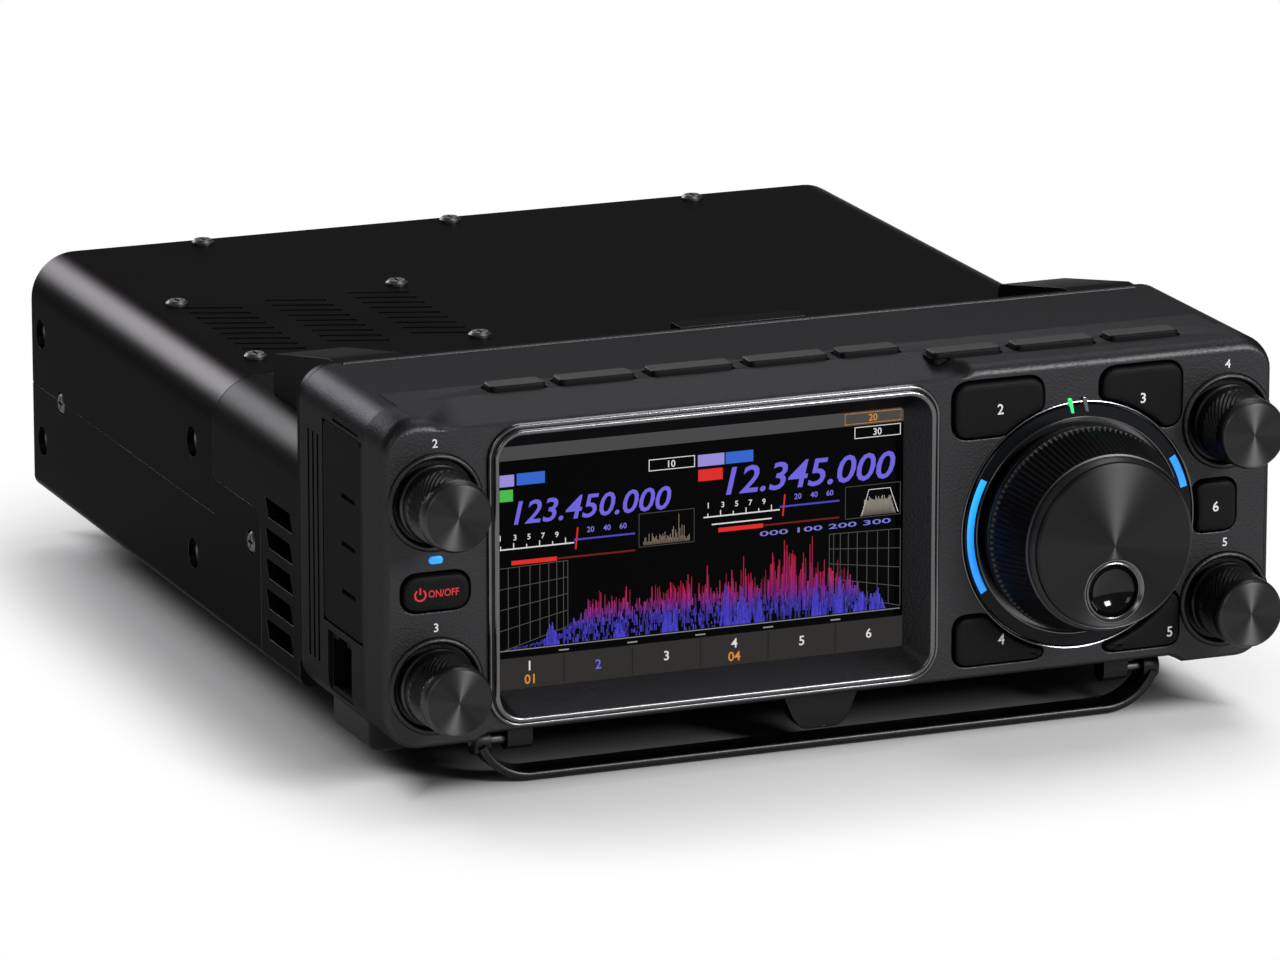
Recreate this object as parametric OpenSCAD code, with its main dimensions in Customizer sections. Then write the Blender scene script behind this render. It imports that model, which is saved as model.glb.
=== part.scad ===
// Mobile transceiver: a control head with a colour display and a tuning dial,
// docked to the front of a power amplifier deck.
// X runs to the right of the front face, Y runs to the rear and Z runs up.
// Inside the modules a point is (x, depth behind the front face, height above the body bottom).

/* [Body] */
// Width of the control head and of the amplifier
body_w = 216; // [200:0.5:240]
// Height of the control head
head_h = 75.4; // [70:0.1:90]
// Depth of the control head behind its front face
head_d = 53.7; // [48:0.1:70]
// Depth of the front panel moulding at the sides
bezel_d = 13.2; // [12:0.1:14]
// Corner radius of the head outline
head_r = 8; // [5:0.1:12]
// Thickness of the front wall of the front panel
face_t = 2.4; // [2:0.1:3]
// Thickness of the side and rear walls of the head
wall = 2.4; // [1.8:0.1:3]
// Height of the amplifier deck
amp_h = 58.5; // [54:0.1:70]
// Depth of the amplifier deck behind the docking plate
amp_d = 192.2; // [180:0.5:240]
// Radius of the long upper edges of the amplifier
amp_r = 11; // [8:0.1:14]
// Thickness of the amplifier covers
cover_t = 2; // [1.5:0.1:2.6]
// Thickness of the docking plate between head and amplifier
dock_t = 2.1; // [1.6:0.1:4]
// Height of the rubber feet
foot_h = 12.5; // [11:0.1:16]
// Radius of the rubber feet
foot_r = 9; // [6:0.1:11]

/* [Display] */
// Distance of the display frame from the left side
frame_gap = 24.2; // [23:0.1:25.5]
// Width of the raised display frame
frame_w = 108.8; // [104:0.1:122]
// Height of the raised display frame
frame_h = 69.4; // [66:0.1:70]
// Height of the display frame above the front face
frame_out = 1.8; // [1:0.1:3]
// Width of the visible screen
screen_w = 98.6; // [90:0.1:99]
// Height of the visible screen
screen_h = 55.8; // [50:0.1:57]
// Depth of the touch glass behind the front face
glass_in = 4.7; // [3.5:0.1:5]

/* [Dial] */
// Distance of the dial axis from the right knob column
dial_gap = 25.4; // [24:0.1:27]
// Dial axis above the body bottom
dial_z = 35.4; // [34:0.1:37]
// Radius of the dial at its grip base
dial_r = 24; // [21:0.1:24.4]
// Radius of the spun front face of the dial
dial_face_r = 19; // [16:0.1:20]
// Distance that the dial stands out of the front face
dial_out = 20; // [16:0.1:26]
// Count of grip grooves round the dial
dial_grooves = 60; // [30:1:90]
// Outer radius of the light ring round the dial
ring_r = 28.3; // [27:0.1:28.5]

/* [Knobs] */
// Distance of the left knob axes from the left side
knob_left = 12; // [11.6:0.1:13]
// Distance of the right knob axes from the right side
knob_right = 11.4; // [11.1:0.1:12]
// Height of the lower knob axes
knob_low = 14.2; // [14:0.1:15]
// Height of the upper knob axes
knob_high = 56.2; // [55:0.1:57]
// Radius of the knob at the panel
knob_r = 9; // [8:0.1:9.4]
// Radius of the knob front face
knob_face_r = 7.8; // [5.5:0.1:8]
// Distance that the knobs stand out of the front face
knob_out = 14.6; // [12:0.1:18]
// Push travel of the knobs
knob_travel = 0.6; // [0.4:0.1:0.7]
// Count of grip grooves round each knob
knob_grooves = 24; // [12:1:30]
// Radius of the encoder shafts
shaft_r = 3; // [2.5:0.1:3.2]

/* [Keys] */
// Press travel of the keys
key_travel = 0.8; // [0.5:0.1:0.9]
// Height of the face keys above the front face
key_out = 1.2; // [0.9:0.1:2]
// Height of the top keys above the top face
top_key_out = 1.2; // [0.6:0.1:1.4]
// Depth of the top keys from front to back
top_key_d = 6; // [4:0.1:6.2]

/* [Stand] */
// Half width of the tilt stand
stand_hw = 85; // [82:0.1:86]
// Depth of the stand bar from front to back
stand_d = 8; // [6:0.1:8.2]
// Thickness of the stand bar
stand_t = 2; // [1.6:0.1:3]
// Corner radius of the stand
stand_r = 14; // [13:0.1:15]
// Depth of the stand hinge axis behind the front face
hinge_y = 10.3; // [10:0.1:10.4]
// Distance of the stand hinge axis below the body bottom
hinge_drop = 2.6; // [2.5:0.1:2.8]
// Radius of the stand hinge pins
pin_r = 1.25; // [1:0.05:1.5]

/* [Side] */
// Depth of the front edge of the jack cover behind the front face
flap_y = 14.8; // [14.6:0.1:15.4]
// Length of the jack cover from front to back
flap_l = 24.6; // [20:0.1:25]
// Height of the jack cover
flap_h = 46; // [40:0.1:47]
// Height of the lower edge of the jack cover
flap_z = 20.9; // [20.6:0.1:21.6]
// Thickness of the jack cover
flap_t = 1.9; // [1.4:0.1:2]
// Height of one side vent slot
vent_h = 4.4; // [3:0.1:5]
// Distance from one side vent slot to the next
vent_pitch = 7.2; // [6.6:0.1:7.4]

/* [Amplifier] */
// Depth of the seam between front frame and top cover
seam_y = 114; // [110:0.5:116]
// Height of the seam between top and bottom covers
seam_z = 26.6; // [26:0.1:27.5]
// Height of the raised front part of the bottom cover
step_z = 35.1; // [34.5:0.1:37]
// Depth of the front edge of the bottom cover
step_y = 81.6; // [80.5:0.1:82.5]
// Spacing of the bracket holes from front to back
bracket_l = 112.4; // [100:0.1:116]
// Vertical spacing of the bracket holes
bracket_h = 27; // [24:0.1:30]
// Radius of the tapped bracket holes
bracket_r = 2; // [1.6:0.05:2.6]
// Spacing of the speaker screws
speaker_sq = 56; // [52:0.1:58]
// Distance of the speaker centre from the left side
speaker_left = 44.3; // [42:0.1:46]
// Speaker centre behind the front face
speaker_y = 158; // [154:0.1:160]
// Radius of the antenna socket barrels
socket_r = 7.94; // [7.8:0.01:8.1]
// Distance that the antenna sockets stand out of the rear
socket_out = 14; // [12:0.1:20]
// Side of the square fan
fan_w = 50; // [40:0.5:50]

/* [Fits] */
// Gap between fixed neighbours
seat = 0.2; // [0.1:0.05:0.3]
// Gap round moving keys, knobs and hinges
clear = 0.35; // [0.3:0.05:0.4]
// Radial gap of shafts and pins in their bores
run = 0.04; // [0.02:0.01:0.08]

/* [Hidden] */
$fn = 64;
hw = body_w / 2;
// body end, total length and the place of the front face
dock_y = head_d + seat;
amp_y = dock_y + dock_t;
rear_y = amp_y + amp_d;
total_l = dial_out + rear_y + socket_out;
face_y = dial_out - total_l / 2;
// head interior
floor_z = 3.4;
relief_z = 1.7;
relief_x = stand_hw + 1.6;
ceil_z = head_h - 2.8;
shelf_y = 24;
shelf_x = hw - 8;
board_y = 16.4;
board_t = 1.6;
// front edge of the scoop over the display
scoop_z = head_h - 3.1;
scoop_y = 15.5;
// display frame
frame_x = -hw + frame_gap + frame_w / 2;
frame_z = scoop_z - 0.1 - frame_h / 2;
neck_w = frame_w - 1.8;
neck_h = frame_h - 3.6;
screen_x = frame_x - 1.6;
screen_z = frame_z + 0.4;
// dial field between the display frame and the right knob column, and its share of the drawn width
knob_col = 23;
col_x = hw - knob_col;
field_w = 60;
field_k = (col_x - frame_x - frame_w / 2) / field_w;
dial_x = col_x - field_k * dial_gap;
// dial parts, which fit both the width of the field and the height of the head
head_ref = 75.4;
dial_k = min(field_k, head_h / head_ref);
grip_r = dial_k * dial_r;
spun_r = dial_k * dial_face_r;
halo_r = dial_k * ring_r;
ring_in = halo_r - 3.1;
key_arc = halo_r + 1.4;
cup_r = dial_k * 6.8;
cup_drop = dial_k * 10.6;
// depth of the jack cover pocket and place of its jacks
pocket_d = flap_t + 0.2;
jack_y = flap_y + 13;
jack_step = 14;
// knob axes, upper left, lower left, upper right, lower right
left_x = -hw + knob_left;
right_x = hw - knob_right;
knob_at = [[left_x, knob_high], [left_x, knob_low], [right_x, knob_high], [right_x, knob_low]];
lip_r = 10.6;
knob_well = 9.7;
enc_front = 9.8;
// place in the dial field, given its drawn distance from the knob column
function field(d) = col_x - field_k * d;
// place along the display frame, given its drawn distance from the frame centre
frame_ref = 108.8;
function along(d) = frame_x + d * frame_w / frame_ref;
// face keys as left, right, bottom, top, corner radius, stem x, stem z
face_keys = [
  [field(56.4), field(34.6), 58.4, 70.9, 3, field(50.5), 61.6],
  [field(20), field(0.2), 56.6, 71.2, 3, field(5.5), 62.0],
  [field(55.8), field(33.6), 5.2, 16.4, 2.5, field(50), 10.6],
  [field(19), field(0.1), 4.9, 17.4, 2.5, field(5.2), 9.2],
  [hw - 21, hw - 9.2, 30.8, 42.4, 2.5, hw - 13.6, 36.6],
  [left_x - 7.8, left_x + 7.6, 31.8, 39.8, 3, left_x, 35.8]];
face_arc = [1, 1, 1, 1, 1, 0];
// top keys as left, right, front depth
left_row = 16.4;
right_row = 7.8;
top_keys = [
  [along(-47), along(-33.8), left_row], [along(-30.4), along(-12.4), left_row], [along(-8.4), along(11.4), left_row],
  [along(15.4), along(34.4), left_row], [along(37.6), along(52), left_row],
  [field(57.8), field(41.2), right_row], [field(37.4), field(18), right_row], [field(14), field(-3), right_row]];
key_flange = 0.9;
switch_h = 3.2;
stem_end = board_y - switch_h - 1.1 - key_travel;
top_board_z = ceil_z - 5.6 - key_travel;
// stand
stand_floor = -foot_h + 0.3;
hinge_z = -hinge_drop;
eye_r = 3.2;
lug_x = stand_hw - 6.8;
// amplifier interior
chassis_x = hw - cover_t - seat;
rear_t = 3;
vent_z = 6.2;
bracket_y = rear_y - 6.8 - bracket_l;
bracket_z = 13.1;
seam = 0.2;
speaker_x = -hw + speaker_left;
screw_r = 1.5;
screw_head_r = 2.7;
sink = 1.1;
fan_x = -hw + 74;
fan_z = 30;
fan_d = 15;
ant_x = [hw - 46, hw - 18];
ant_z = 36;
jack_x = [14, 26, 38];
jack_z = 14;
dc_x = hw - 42;
dc_z = 12.6;
post_x = 20;
post_z = 42;
rear_top_x = [-hw + 43, 0, hw - 43];
pillar_x = hw - 20;
foot_x = hw - 28;
pad_h = 4.2;
step_r = 6;

// Moves the working frame of the modules to the shared frame.
module place() {
  translate([0, face_y, foot_h]) children();
}

// Rounded rectangle from two corners.
module rbox(x0, x1, z0, z1, r) {
  translate([x0 + r, z0]) square([x1 - x0 - 2 * r, z1 - z0]);
  translate([x0, z0 + r]) square([x1 - x0, z1 - z0 - 2 * r]);
  for (x = [x0 + r, x1 - r])
    for (z = [z0 + r, z1 - r])
      translate([x, z]) circle(r);
}

// Extrudes an outline drawn in x and z from depth y0 to y1.
module slab(y0, y1) {
  translate([0, y1, 0]) rotate([90, 0, 0]) linear_extrude(y1 - y0) children();
}

// Extrudes an outline drawn in depth and height from x0 to x1.
module span(x0, x1) {
  translate([x0, 0, 0]) rotate([90, 0, 90]) linear_extrude(x1 - x0) children();
}

// Box from two corners.
module block(x0, x1, y0, y1, z0, z1) {
  translate([x0, y0, z0]) cube([x1 - x0, y1 - y0, z1 - z0]);
}

// Rod along the depth at x and z, with its radius at each end.
module rod(x, z, y0, y1, ra, rb) {
  translate([x, y0, z]) rotate([-90, 0, 0]) cylinder(h = y1 - y0, r1 = ra, r2 = rb);
}

// Rod along the width.
module axle(x0, x1, y, z, r) {
  translate([x0, y, z]) rotate([0, 90, 0]) cylinder(h = x1 - x0, r = r);
}

// Upright rod.
module post(x, y, z0, z1, r) {
  translate([x, y, z0]) cylinder(h = z1 - z0, r = r);
}

// Ring round an axis along the depth.
module collar(x, z, y0, y1, r_in, r_out) {
  difference() {
    rod(x, z, y0, y1, r_out, r_out);
    rod(x, z, y0 - 1, y1 + 1, r_in, r_in);
  }
}

// Outline of face key k grown by g, with its inner edge following the dial.
module face_key_shape(k, g) {
  q = face_keys[k];
  difference() {
    rbox(q[0] - g, q[1] + g, q[2] - g, q[3] + g, q[4] + g);
    if (face_arc[k] > 0) translate([dial_x, dial_z]) circle(key_arc - g);
  }
}

// Outline of top key k seen from above, grown by g.
module top_key_shape(k, g) {
  q = top_keys[k];
  rbox(q[0] - g, q[1] + g, q[2] - g, q[2] + top_key_d + g, 1.2 + g);
}

// Outline of the head between depth y0 and y1, made smaller by g.
module head_block(y0, y1, g) {
  slab(y0, y1) rbox(-hw + g, hw - g, g, head_h - g, head_r - g);
}

// Space left under the head for the folded stand.
module stand_relief() {
  block(-relief_x, relief_x, -1, 32, -1, relief_z);
}

module front_panel() {
  color([0.13, 0.13, 0.14]) place() {
    difference() {
      union() {
        intersection() {
          head_block(0, bezel_d, 0);
          span(-hw - 1, hw + 1) polygon([[0, 1.4], [0, head_h - 4], [0.4, head_h - 2.2], [1.4, head_h - 0.8],
            [3.4, head_h], [bezel_d, head_h], [bezel_d, 0], [1.6, 0]]);
          linear_extrude(head_h) polygon([[-hw + 1.4, 0], [hw - 1.4, 0], [hw, 2], [hw, bezel_d],
            [-hw, bezel_d], [-hw, 2]]);
        }
        block(-shelf_x, shelf_x, bezel_d - 1, shelf_y, ceil_z, head_h);
        for (p = knob_at) rod(p[0], p[1], -0.8, 1, lip_r - 0.5, lip_r);
      }
      // hollow behind the front wall, lower above the display
      block(-hw + wall, hw - wall, face_t, bezel_d + 1, floor_z, scoop_z - 1.5);
      block(-hw + wall, -frame_w / 2 + frame_x - 1.5, face_t, bezel_d + 1, floor_z, ceil_z);
      block(frame_w / 2 + frame_x + 1.3, hw - wall, face_t, bezel_d + 1, floor_z, ceil_z);
      // sloped scoop above the display
      span(frame_x - frame_w / 2 - 0.4, frame_x + frame_w / 2 + 0.4)
        polygon([[-2, scoop_z - 0.4], [scoop_y, head_h], [scoop_y, head_h + 2], [-2, head_h + 2]]);
      stand_relief();
      // display opening
      slab(-1, face_t + 1) rbox(frame_x - neck_w / 2, frame_x + neck_w / 2,
        frame_z - neck_h / 2, frame_z + neck_h / 2, 7);
      // groove of the light ring and hole of the dial bushing
      collar(dial_x, dial_z, -1, 1.2, ring_in - seat, halo_r + seat);
      rod(dial_x, dial_z, -1, face_t + 1, 5.3, 5.3);
      // knob wells and bushing holes
      for (p = knob_at) {
        rod(p[0], p[1], -2, 1.2, knob_well, knob_well);
        rod(p[0], p[1], -2, face_t + 1, 4.4, 4.4);
      }
      for (k = [0:5]) slab(-1, face_t + 1) face_key_shape(k, clear);
      for (k = [0:7]) translate([0, 0, ceil_z - 1]) linear_extrude(6) top_key_shape(k, clear);
      status_shape(seat, -1, face_t + 1);
      power_shape(seat, -1, face_t + 1);
    }
    // posts that carry the boards
    for (p = [[-hw + 7.5, 26.6], [-hw + 7.5, 46.4], [hw - 5.7, 26.6], [hw - 5.7, 47],
      [field(58), 24], [field(58), 47]])
      rod(p[0], p[1], face_t - 0.2, board_y, 2, 2);
    for (x = [along(-40.6), along(-0.6), along(41.4)]) post(x, 12.4, top_board_z + 1.4, scoop_z - 1.4, 1.3);
    for (x = [field(27), hw - 16]) post(x, 18.6, top_board_z + 1.4, ceil_z + 0.2, 1.6);
    // hinge lugs of the stand and the guide lug between them
    for (s = [-1, 1]) difference() {
      union() {
        block(min(s * lug_x, s * (lug_x - 6)), max(s * lug_x, s * (lug_x - 6)),
          hinge_y - 2.7, hinge_y + 2.7, hinge_z, relief_z + 0.2);
        axle(s * (lug_x - 3) - 3, s * (lug_x - 3) + 3, hinge_y, hinge_z, 2.7);
      }
      axle(s * (lug_x - 3) - 4, s * (lug_x - 3) + 4, hinge_y, hinge_z, pin_r + run);
    }
    slab(hinge_y - 2.3, hinge_y + 2.3) {
      polygon([[-10, relief_z + 0.2], [-6.8, hinge_z - 3], [6.8, hinge_z - 3], [10, relief_z + 0.2]]);
      translate([-4.6, hinge_z - 3.2]) circle(2.2);
      translate([4.6, hinge_z - 3.2]) circle(2.2);
      translate([-4.6, hinge_z - 5.4]) square([9.2, 3]);
    }
  }
}

// Slots of the two status bars above the dial.
module status_shape(g, y0, y1) {
  for (x = [dial_x - 2.2, dial_x + 1.4])
    block(x - 0.75 - g, x + 0.75 + g, y0, y1, dial_z + ring_in + 1 - g, dial_z + halo_r + 1.6 + g);
}

// Window of the power light.
module power_shape(g, y0, y1) {
  slab(y0, y1) rbox(left_x - 1.7 - g, left_x + 1.7 + g, 42.2 - g, 44 + g, 0.8 + g);
}

module display_frame() {
  color([0.2, 0.2, 0.21]) place()
    difference() {
      union() {
        slab(-frame_out / 2, 0) rbox(frame_x - frame_w / 2, frame_x + frame_w / 2,
          frame_z - frame_h / 2, frame_z + frame_h / 2, 8);
        slab(-frame_out, -frame_out / 2) rbox(frame_x - frame_w / 2 + 0.8, frame_x + frame_w / 2 - 0.8,
          frame_z - frame_h / 2 + 0.8, frame_z + frame_h / 2 - 0.8, 7.2);
        slab(-0.1, glass_in) rbox(frame_x - neck_w / 2 + seat, frame_x + neck_w / 2 - seat,
          frame_z - neck_h / 2 + seat, frame_z + neck_h / 2 - seat, 6.8);
      }
      // sloped walls down to the screen
      hull() {
        slab(-frame_out - 0.1, -frame_out) rbox(frame_x - frame_w / 2 + 2.2, frame_x + frame_w / 2 - 2.2,
          frame_z - frame_h / 2 + 2.4, frame_z + frame_h / 2 - 2.4, 5.8);
        slab(glass_in, glass_in + 0.1) rbox(screen_x - screen_w / 2, screen_x + screen_w / 2,
          screen_z - screen_h / 2, screen_z + screen_h / 2, 1);
      }
    }
}

module touch_glass() {
  color([0.03, 0.03, 0.05]) place()
    slab(glass_in, glass_in + 1.1) rbox(screen_x - screen_w / 2 - 1.6, screen_x + screen_w / 2 + 2,
      screen_z - screen_h / 2 - 2, screen_z + screen_h / 2 + 2, 1.5);
}

module lcd_module() {
  color([0.3, 0.31, 0.33]) place() {
    slab(glass_in + 1.1, glass_in + 5.1) rbox(screen_x - screen_w / 2 - 1.6, screen_x + screen_w / 2 + 2,
      screen_z - screen_h / 2 - 2, screen_z + screen_h / 2 + 2, 1);
    for (x = [screen_x - 40, screen_x + 40])
      for (z = [screen_z - 22, screen_z + 22])
        rod(x, z, glass_in + 5, board_y, 2.5, 2.5);
  }
}

module rear_case() {
  color([0.07, 0.07, 0.075]) place()
    difference() {
      union() {
        difference() {
          head_block(bezel_d, head_d, 0);
          slab(bezel_d - 1, head_d - wall) rbox(-hw + wall, hw - wall, floor_z, head_h - wall, head_r - wall);
        }
        // pad behind the jack cover
        block(-hw + 1, -hw + 4.4, bezel_d, flap_y + flap_l + 2, flap_z - 2, flap_z + flap_h + 2);
      }
      // shelf of the front panel
      block(-shelf_x - seat, shelf_x + seat, bezel_d - 1, shelf_y + seat, ceil_z - 1, head_h + 1);
      stand_relief();
      // pocket of the jack cover and the jack mouths in it
      block(-hw - 1, -hw + pocket_d, flap_y - clear, flap_y + flap_l + clear, flap_z - clear, flap_z + flap_h + clear);
      for (k = [0:2]) axle(-hw - 1, -hw + 6, jack_y, flap_z + 9 + jack_step * k, 2.6);
      // mouth of the microphone socket
      block(-hw - 1, -hw + 6, 21.6, 37, 4.8, 19);
      // grip grooves on both sides
      for (s = [-1, 1])
        for (k = [0:2])
          block(s * hw - 0.6, s * hw + 0.6, 42.2 + 3 * k, 43.4 + 3 * k, 9.8, 62.6);
      // ledge lines above the jack cover
      for (k = [0:1])
        block(-hw - 1, -hw + 0.5, 17 + 3 * k, 33, flap_z + flap_h + 1.1 + 1.6 * k, flap_z + flap_h + 1.8 + 1.6 * k);
      // window for the docking plug
      block(-30, 30, head_d - wall - 1, head_d + 1, 24, 36);
    }
}

module control_board() {
  color([0.05, 0.25, 0.12]) place()
    slab(board_y, board_y + board_t) rbox(-hw + 5.2, hw - wall - 0.8, floor_z + 0.6, top_board_z - 0.9, 5);
}

module top_key_board() {
  color([0.05, 0.25, 0.12]) place()
    difference() {
      block(along(-52.6), hw - 12, 10.6, 23, top_board_z, top_board_z + 1.4);
      for (x = [along(-20.6), field(45)]) post(x, 21.4, top_board_z - 1, top_board_z + 3, 0.9);
    }
  color([0.05, 0.25, 0.12]) place() block(field(59), hw - 12, 6, 10.6, top_board_z, top_board_z + 1.4);
}

module logic_board() {
  color([0.05, 0.25, 0.12]) place() {
    slab(44, 45.6) rbox(-hw + 12, hw - 12, 8, 68, 2);
    // spacers to the rear wall and to the control board
    for (x = [-pillar_x, pillar_x])
      for (z = [14, 60]) {
        rod(x, z, 45.4, head_d - wall, 2.4, 2.4);
        rod(x, z, board_y + board_t, 44.2, 2.4, 2.4);
      }
    // shielding cans and the docking plug
    block(-70, -20, 38, 44.2, 20, 60);
    block(-10, 40, 40, 44.2, 30, 62);
    block(-26, 26, 45.4, dock_y, 26, 34);
  }
}

module key_switches() {
  color([0.75, 0.75, 0.77]) place() {
    for (q = face_keys) {
      block(q[5] - 3, q[5] + 3, board_y - switch_h, board_y, q[6] - 3, q[6] + 3);
      rod(q[5], q[6], board_y - switch_h - 0.8, board_y - switch_h + 0.1, 1.7, 1.7);
    }
    for (q = top_keys) {
      x = (q[0] + q[1]) / 2;
      y = q[2] + top_key_d / 2;
      block(x - 2.2, x + 2.2, y - 2.2, y + 2.2, top_board_z + 1.4, top_board_z + 3.2);
      post(x, y, top_board_z + 3.1, top_board_z + 3.8, 1.3);
    }
  }
}

module encoder_bodies() {
  color([0.55, 0.56, 0.58]) place()
    for (p = knob_at) difference() {
      union() {
        block(p[0] - 6.2, p[0] + 6.2, enc_front, board_y, p[1] - 6.5, p[1] + 6.5);
        rod(p[0], p[1], 1.4, enc_front + 0.1, 4.1, 4.1);
      }
      rod(p[0], p[1], 0, board_y - 1, shaft_r + run, shaft_r + run);
    }
}

module dial_encoder() {
  color([0.55, 0.56, 0.58]) place()
    difference() {
      union() {
        rod(dial_x, dial_z, enc_front, board_y, 14, 14);
        rod(dial_x, dial_z, 0.4, enc_front + 0.1, 5, 5);
      }
      rod(dial_x, dial_z, -1, board_y - 1, shaft_r + run, shaft_r + run);
    }
}

module dial_light_ring() {
  color([0.2, 0.45, 0.75]) place()
    difference() {
      collar(dial_x, dial_z, -0.5, 1.2, ring_in, halo_r);
      status_shape(seat, -2, 3);
    }
}

module status_lights() {
  color([0.1, 0.8, 0.4]) place() status_shape(0, -0.6, face_t);
}

module power_light() {
  color([0.1, 0.5, 1]) place() power_shape(0, -0.4, face_t);
}

module jack_cover() {
  color([0.09, 0.09, 0.09]) place()
    difference() {
      union() {
        block(-hw, -hw + flap_t, flap_y, flap_y + flap_l, flap_z, flap_z + flap_h);
        // plugs that close the jack mouths
        for (k = [0:2]) axle(-hw + flap_t - 0.2, -hw + pocket_d + 1.2, jack_y, flap_z + 9 + jack_step * k, 1.2);
      }
      // finger slits
      for (k = [0:2]) block(-hw - 1, -hw + 0.7, flap_y + 4, flap_y + 13, flap_z + 9 + 11 * k, flap_z + 10 + 11 * k);
    }
}

module side_jacks() {
  color([0.12, 0.12, 0.13]) place()
    for (k = [0:2]) difference() {
      block(-hw + 4.4, -hw + 16, jack_y - 5, jack_y + 5, flap_z + 4 + jack_step * k, flap_z + 14 + jack_step * k);
      axle(-hw + 4, -hw + 15, jack_y, flap_z + 9 + jack_step * k, 1.8);
    }
}

module mic_socket() {
  color([0.1, 0.1, 0.11]) place()
    difference() {
      block(-hw + 0.8, -hw + 16, 21.6 + seat, 37 - seat, 4.8 + seat, 19 - seat);
      block(-hw, -hw + 12, 23.2, 35.4, 6.2, 17.4);
      block(-hw, -hw + 12, 26.6, 32, 6.2, 18.2);
    }
}

module main_dial() {
  color([0.1, 0.1, 0.105]) place()
    difference() {
      union() {
        rod(dial_x, dial_z, -5, -0.6, grip_r - 0.5, grip_r - 0.5);
        rod(dial_x, dial_z, -6.4, -5, grip_r, grip_r);
        rod(dial_x, dial_z, -dial_out + 2.8, -6.4, spun_r + 1.6, grip_r - 0.6);
        rod(dial_x, dial_z, -dial_out + 1.4, -dial_out + 2.8, spun_r + 0.2, spun_r + 1.4);
      }
      // bore of the shaft, closed at the front
      rod(dial_x, dial_z, -dial_out + 4, 1, shaft_r + 0.02, shaft_r + 0.02);
      // pocket of the finger cup
      rod(dial_x, dial_z - cup_drop, -dial_out, -dial_out + 9, cup_r + 0.1, cup_r + 0.1);
      // hollow at the back over the encoder bushing
      rod(dial_x, dial_z, -3, 1, 7, 7);
      // grip grooves
      for (k = [0:dial_grooves - 1])
        translate([dial_x, 0, dial_z]) rotate([0, k * 360 / dial_grooves, 0])
          span(-0.45, 0.45) polygon([[-7.4, grip_r - 1.5], [-dial_out + 4, spun_r + 1.3],
            [-dial_out + 4, grip_r + 2], [-7.4, grip_r + 2]]);
    }
}

module dial_face() {
  color([0.3, 0.3, 0.31]) place()
    difference() {
      union() {
        rod(dial_x, dial_z, -dial_out + 0.6, -dial_out + 1.4, spun_r - 0.6, spun_r);
        rod(dial_x, dial_z, -dial_out, -dial_out + 0.6, 0.6, spun_r - 0.6);
      }
      rod(dial_x, dial_z - cup_drop, -dial_out - 1, -dial_out + 2, cup_r + 0.3, cup_r + 0.3);
    }
}

module finger_cup() {
  color([0.02, 0.02, 0.02]) place()
    difference() {
      rod(dial_x, dial_z - cup_drop, -dial_out + 0.1, -dial_out + 9, cup_r, cup_r);
      translate([dial_x, -dial_out - 1.4, dial_z - cup_drop]) sphere(cup_r - 0.3);
      rod(dial_x, dial_z - cup_drop, -dial_out - 1, -dial_out + 0.6, cup_r - 0.3, cup_r - 0.9);
    }
}

module dial_shaft() {
  color([0.7, 0.7, 0.72]) place() rod(dial_x, dial_z, -dial_out + 4.2, board_y - 1.4, shaft_r, shaft_r);
}

// Shaft with a flat, turning in its encoder.
module knob_shaft(k) {
  p = knob_at[k];
  color([0.7, 0.7, 0.72]) place()
    difference() {
      rod(p[0], p[1], -knob_out + 3.4, board_y - 1.4, shaft_r, shaft_r);
      block(p[0] + shaft_r - 0.6, p[0] + shaft_r + 1, -knob_out, -1.5, p[1] - 4, p[1] + 4);
    }
}

// Grooved knob with a spun face, sliding on the flat of its shaft.
module knob(k) {
  p = knob_at[k];
  color([0.12, 0.12, 0.125]) place()
    difference() {
      union() {
        rod(p[0], p[1], -1.6, -0.4, knob_r, knob_r);
        rod(p[0], p[1], -knob_out + 1, -1.6, knob_face_r + 0.2, knob_r - 0.6);
        rod(p[0], p[1], -knob_out, -knob_out + 1, knob_face_r - 0.5, knob_face_r);
      }
      intersection() {
        rod(p[0], p[1], -knob_out + 2.4, 1, shaft_r + run, shaft_r + run);
        union() {
          block(p[0] - 5, p[0] + shaft_r - 0.6 + run, -knob_out, 1, p[1] - 5, p[1] + 5);
          block(p[0] - 5, p[0] + 5, -2.2 - knob_travel, 1, p[1] - 5, p[1] + 5);
        }
      }
      for (g = [0:knob_grooves - 1])
        translate([p[0], 0, p[1]]) rotate([0, g * 360 / knob_grooves, 0])
          span(-0.4, 0.4) polygon([[-2.6, knob_r - 1.1], [-knob_out + 1.6, knob_face_r - 0.3],
            [-knob_out + 1.6, knob_r + 2], [-2.6, knob_r + 2]]);
    }
}

// Face key with a flange behind the panel and a stem to its switch.
module face_key(k) {
  q = face_keys[k];
  color([0.16, 0.16, 0.165]) place() {
    slab(-key_out, face_t + 1) face_key_shape(k, 0);
    slab(face_t + 0.35, face_t + 1.4) face_key_shape(k, key_flange);
    rod(q[5], q[6], face_t + 1.3, stem_end, 1.8, 1.8);
  }
}

// Top key with a flange under the top face.
module top_key(k) {
  color([0.16, 0.16, 0.165]) place() {
    translate([0, 0, ceil_z - 1]) linear_extrude(head_h - ceil_z + 1 + top_key_out) top_key_shape(k, 0);
    translate([0, 0, ceil_z - 1.4]) linear_extrude(1.05) top_key_shape(k, 0.8);
  }
}

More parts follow.
